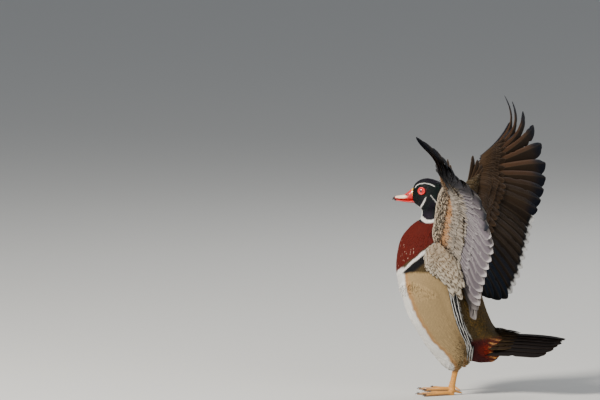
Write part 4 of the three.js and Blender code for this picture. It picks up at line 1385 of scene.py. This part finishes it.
def make_leg(name):
    nodes = [f"leg_{name}", f"foot_{name}"]
    solids = [mesh_arrays(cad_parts[node].data)[::2] for node in nodes]
    ankle = np.array(FEET[name]["ankle"], float)
    c, s = circle(16)
    filler = [ankle + np.stack([3.6 * c, 3.3 * s, np.full(16, z)], 1) for z in (-3.0, 1.0, 5.0)]
    mesh = fused([*solids, loft(np.array(filler))], 0.55, 4)
    verts, _, _ = mesh_arrays(mesh)
    z = verts[:, 2]
    away = np.hypot(verts[:, 0] - ankle[0], verts[:, 1] - ankle[1])
    scaly = np.array(LEG_YELLOW) * (0.9 + 0.12 * ripple(verts, 2.0))[:, None]
    paint(mesh, layered(
        verts, scaly,
        (edge(2.6 - z, 0.5) * edge(away - 7, 4) * 0.75, (0.10, 0.055, 0.03)),
        (np.clip(np.sin(z * 2.0), 0, 1) * edge(z - 9, 3) * 0.25, (0.30, 0.12, 0.02)),
    ))
    mesh.name = f"leg_skin_{name}"
    add_piece(mesh.name, mesh, SCALY, nodes)


def make_claws(name):
    ankle, turn = np.array(FEET[name]["ankle"], float), FEET[name]["turn"]
    c, s = circle(10)
    claws = []
    for angle, length in TOES:
        a = math.radians(SIDES[name] * angle + turn)
        along = np.array([-math.cos(a), math.sin(a), 0])
        aside = np.array([-along[1], along[0], 0])
        rings = []
        for t in np.linspace(0, 1, 8):
            middle = ankle * [1, 1, 0] + along * (length * 0.93 + 6.5 * t)
            middle = middle + [0, 0, 2.2 + 0.9 * math.sin(t * 2.2) - 2.3 * t * t]
            size = 1.25 * (1 - t) ** 0.7 + 0.08
            rings.append(middle + np.outer(c * size * 0.8, aside) + np.outer(s * size, [0, 0, 1]))
        claws.append(loft(np.array(rings)))
    verts, faces = joined(claws)
    add_arrays(f"claws_{name}", (verts, faces, layered(verts, (0.03, 0.02, 0.015))), HORN)


skin_arrays = make_skin()
clothe_body(skin_arrays)
clothe_head(skin_arrays)
clothe_flank_edge(skin_arrays)
clothe_arms()
for duck_wing in WINGS.values():
    clothe_wing(duck_wing)
clothe_tail()
clothe_crest()
make_bill()
for side_name in SIDES:
    make_eye(side_name)
    make_leg(side_name)
    make_claws(side_name)


# The camera stands where the photograph was taken, far off and a little above the bird
CAMERA = {"azimuth": 12, "elevation": 5, "distance": 9470, "lens": 400, "aside": -213, "height": 274}


def make_camera():
    a, e = math.radians(CAMERA["azimuth"]), math.radians(CAMERA["elevation"])
    right = Vector((math.cos(a), math.sin(a), 0))
    up = Vector((-math.sin(a) * math.sin(e), math.cos(a) * math.sin(e), math.cos(e)))
    away = up.cross(right)
    aim = right * CAMERA["aside"] + up * CAMERA["height"]
    data = bpy.data.cameras.new("camera")
    data.lens = CAMERA["lens"]
    data.clip_end = 100
    camera = placed("camera", data)
    turned = Matrix((right, up, -away)).transposed().to_4x4()
    turned.translation = (aim - away * CAMERA["distance"]) * MM + Vector(SHIFT)
    camera.matrix_world = turned
    bpy.context.scene.camera = camera


def add_light(name, place, size, power, colour=(1, 1, 1)):
    data = bpy.data.lights.new(name, "AREA")
    data.size = size
    data.energy = power
    data.color = colour
    light = placed(name, data)
    light.location = place
    light.rotation_mode = "QUATERNION"
    light.rotation_quaternion = (Vector((0, 0, 0.2)) - Vector(place)).to_track_quat("-Z", "Y")


FLOOR_REACH = 30  # in metres


def make_stage():
    mesh = bpy.data.meshes.new("floor")
    corners = [(x * FLOOR_REACH, y * FLOOR_REACH, 0) for x, y in ((-1, -1), (1, -1), (1, 1), (-1, 1))]
    mesh.from_pydata(corners, [], [(0, 1, 2, 3)])
    floor = placed("floor", mesh)
    material = bpy.data.materials.new("pale_floor")
    material.use_nodes = True
    shader = material.node_tree.nodes["Principled BSDF"]
    shader.inputs["Base Color"].default_value = (0.62, 0.62, 0.60, 1)
    shader.inputs["Roughness"].default_value = 0.9
    mesh.materials.append(material)
    world = bpy.data.worlds.new("studio")
    world.use_nodes = True
    sky = world.node_tree.nodes["Background"]
    sky.inputs["Color"].default_value = (0.80, 0.84, 0.90, 1)
    sky.inputs["Strength"].default_value = 0.33
    bpy.context.scene.world = world
    add_light("key", (-1.7, -1.9, 2.1), 0.9, 185, (1.0, 0.95, 0.87))
    add_light("fill", (2.2, -1.8, 1.2), 2.0, 22)
    add_light("rim", (0.8, 2.2, 2.0), 1.5, 30)


make_camera()
make_stage()
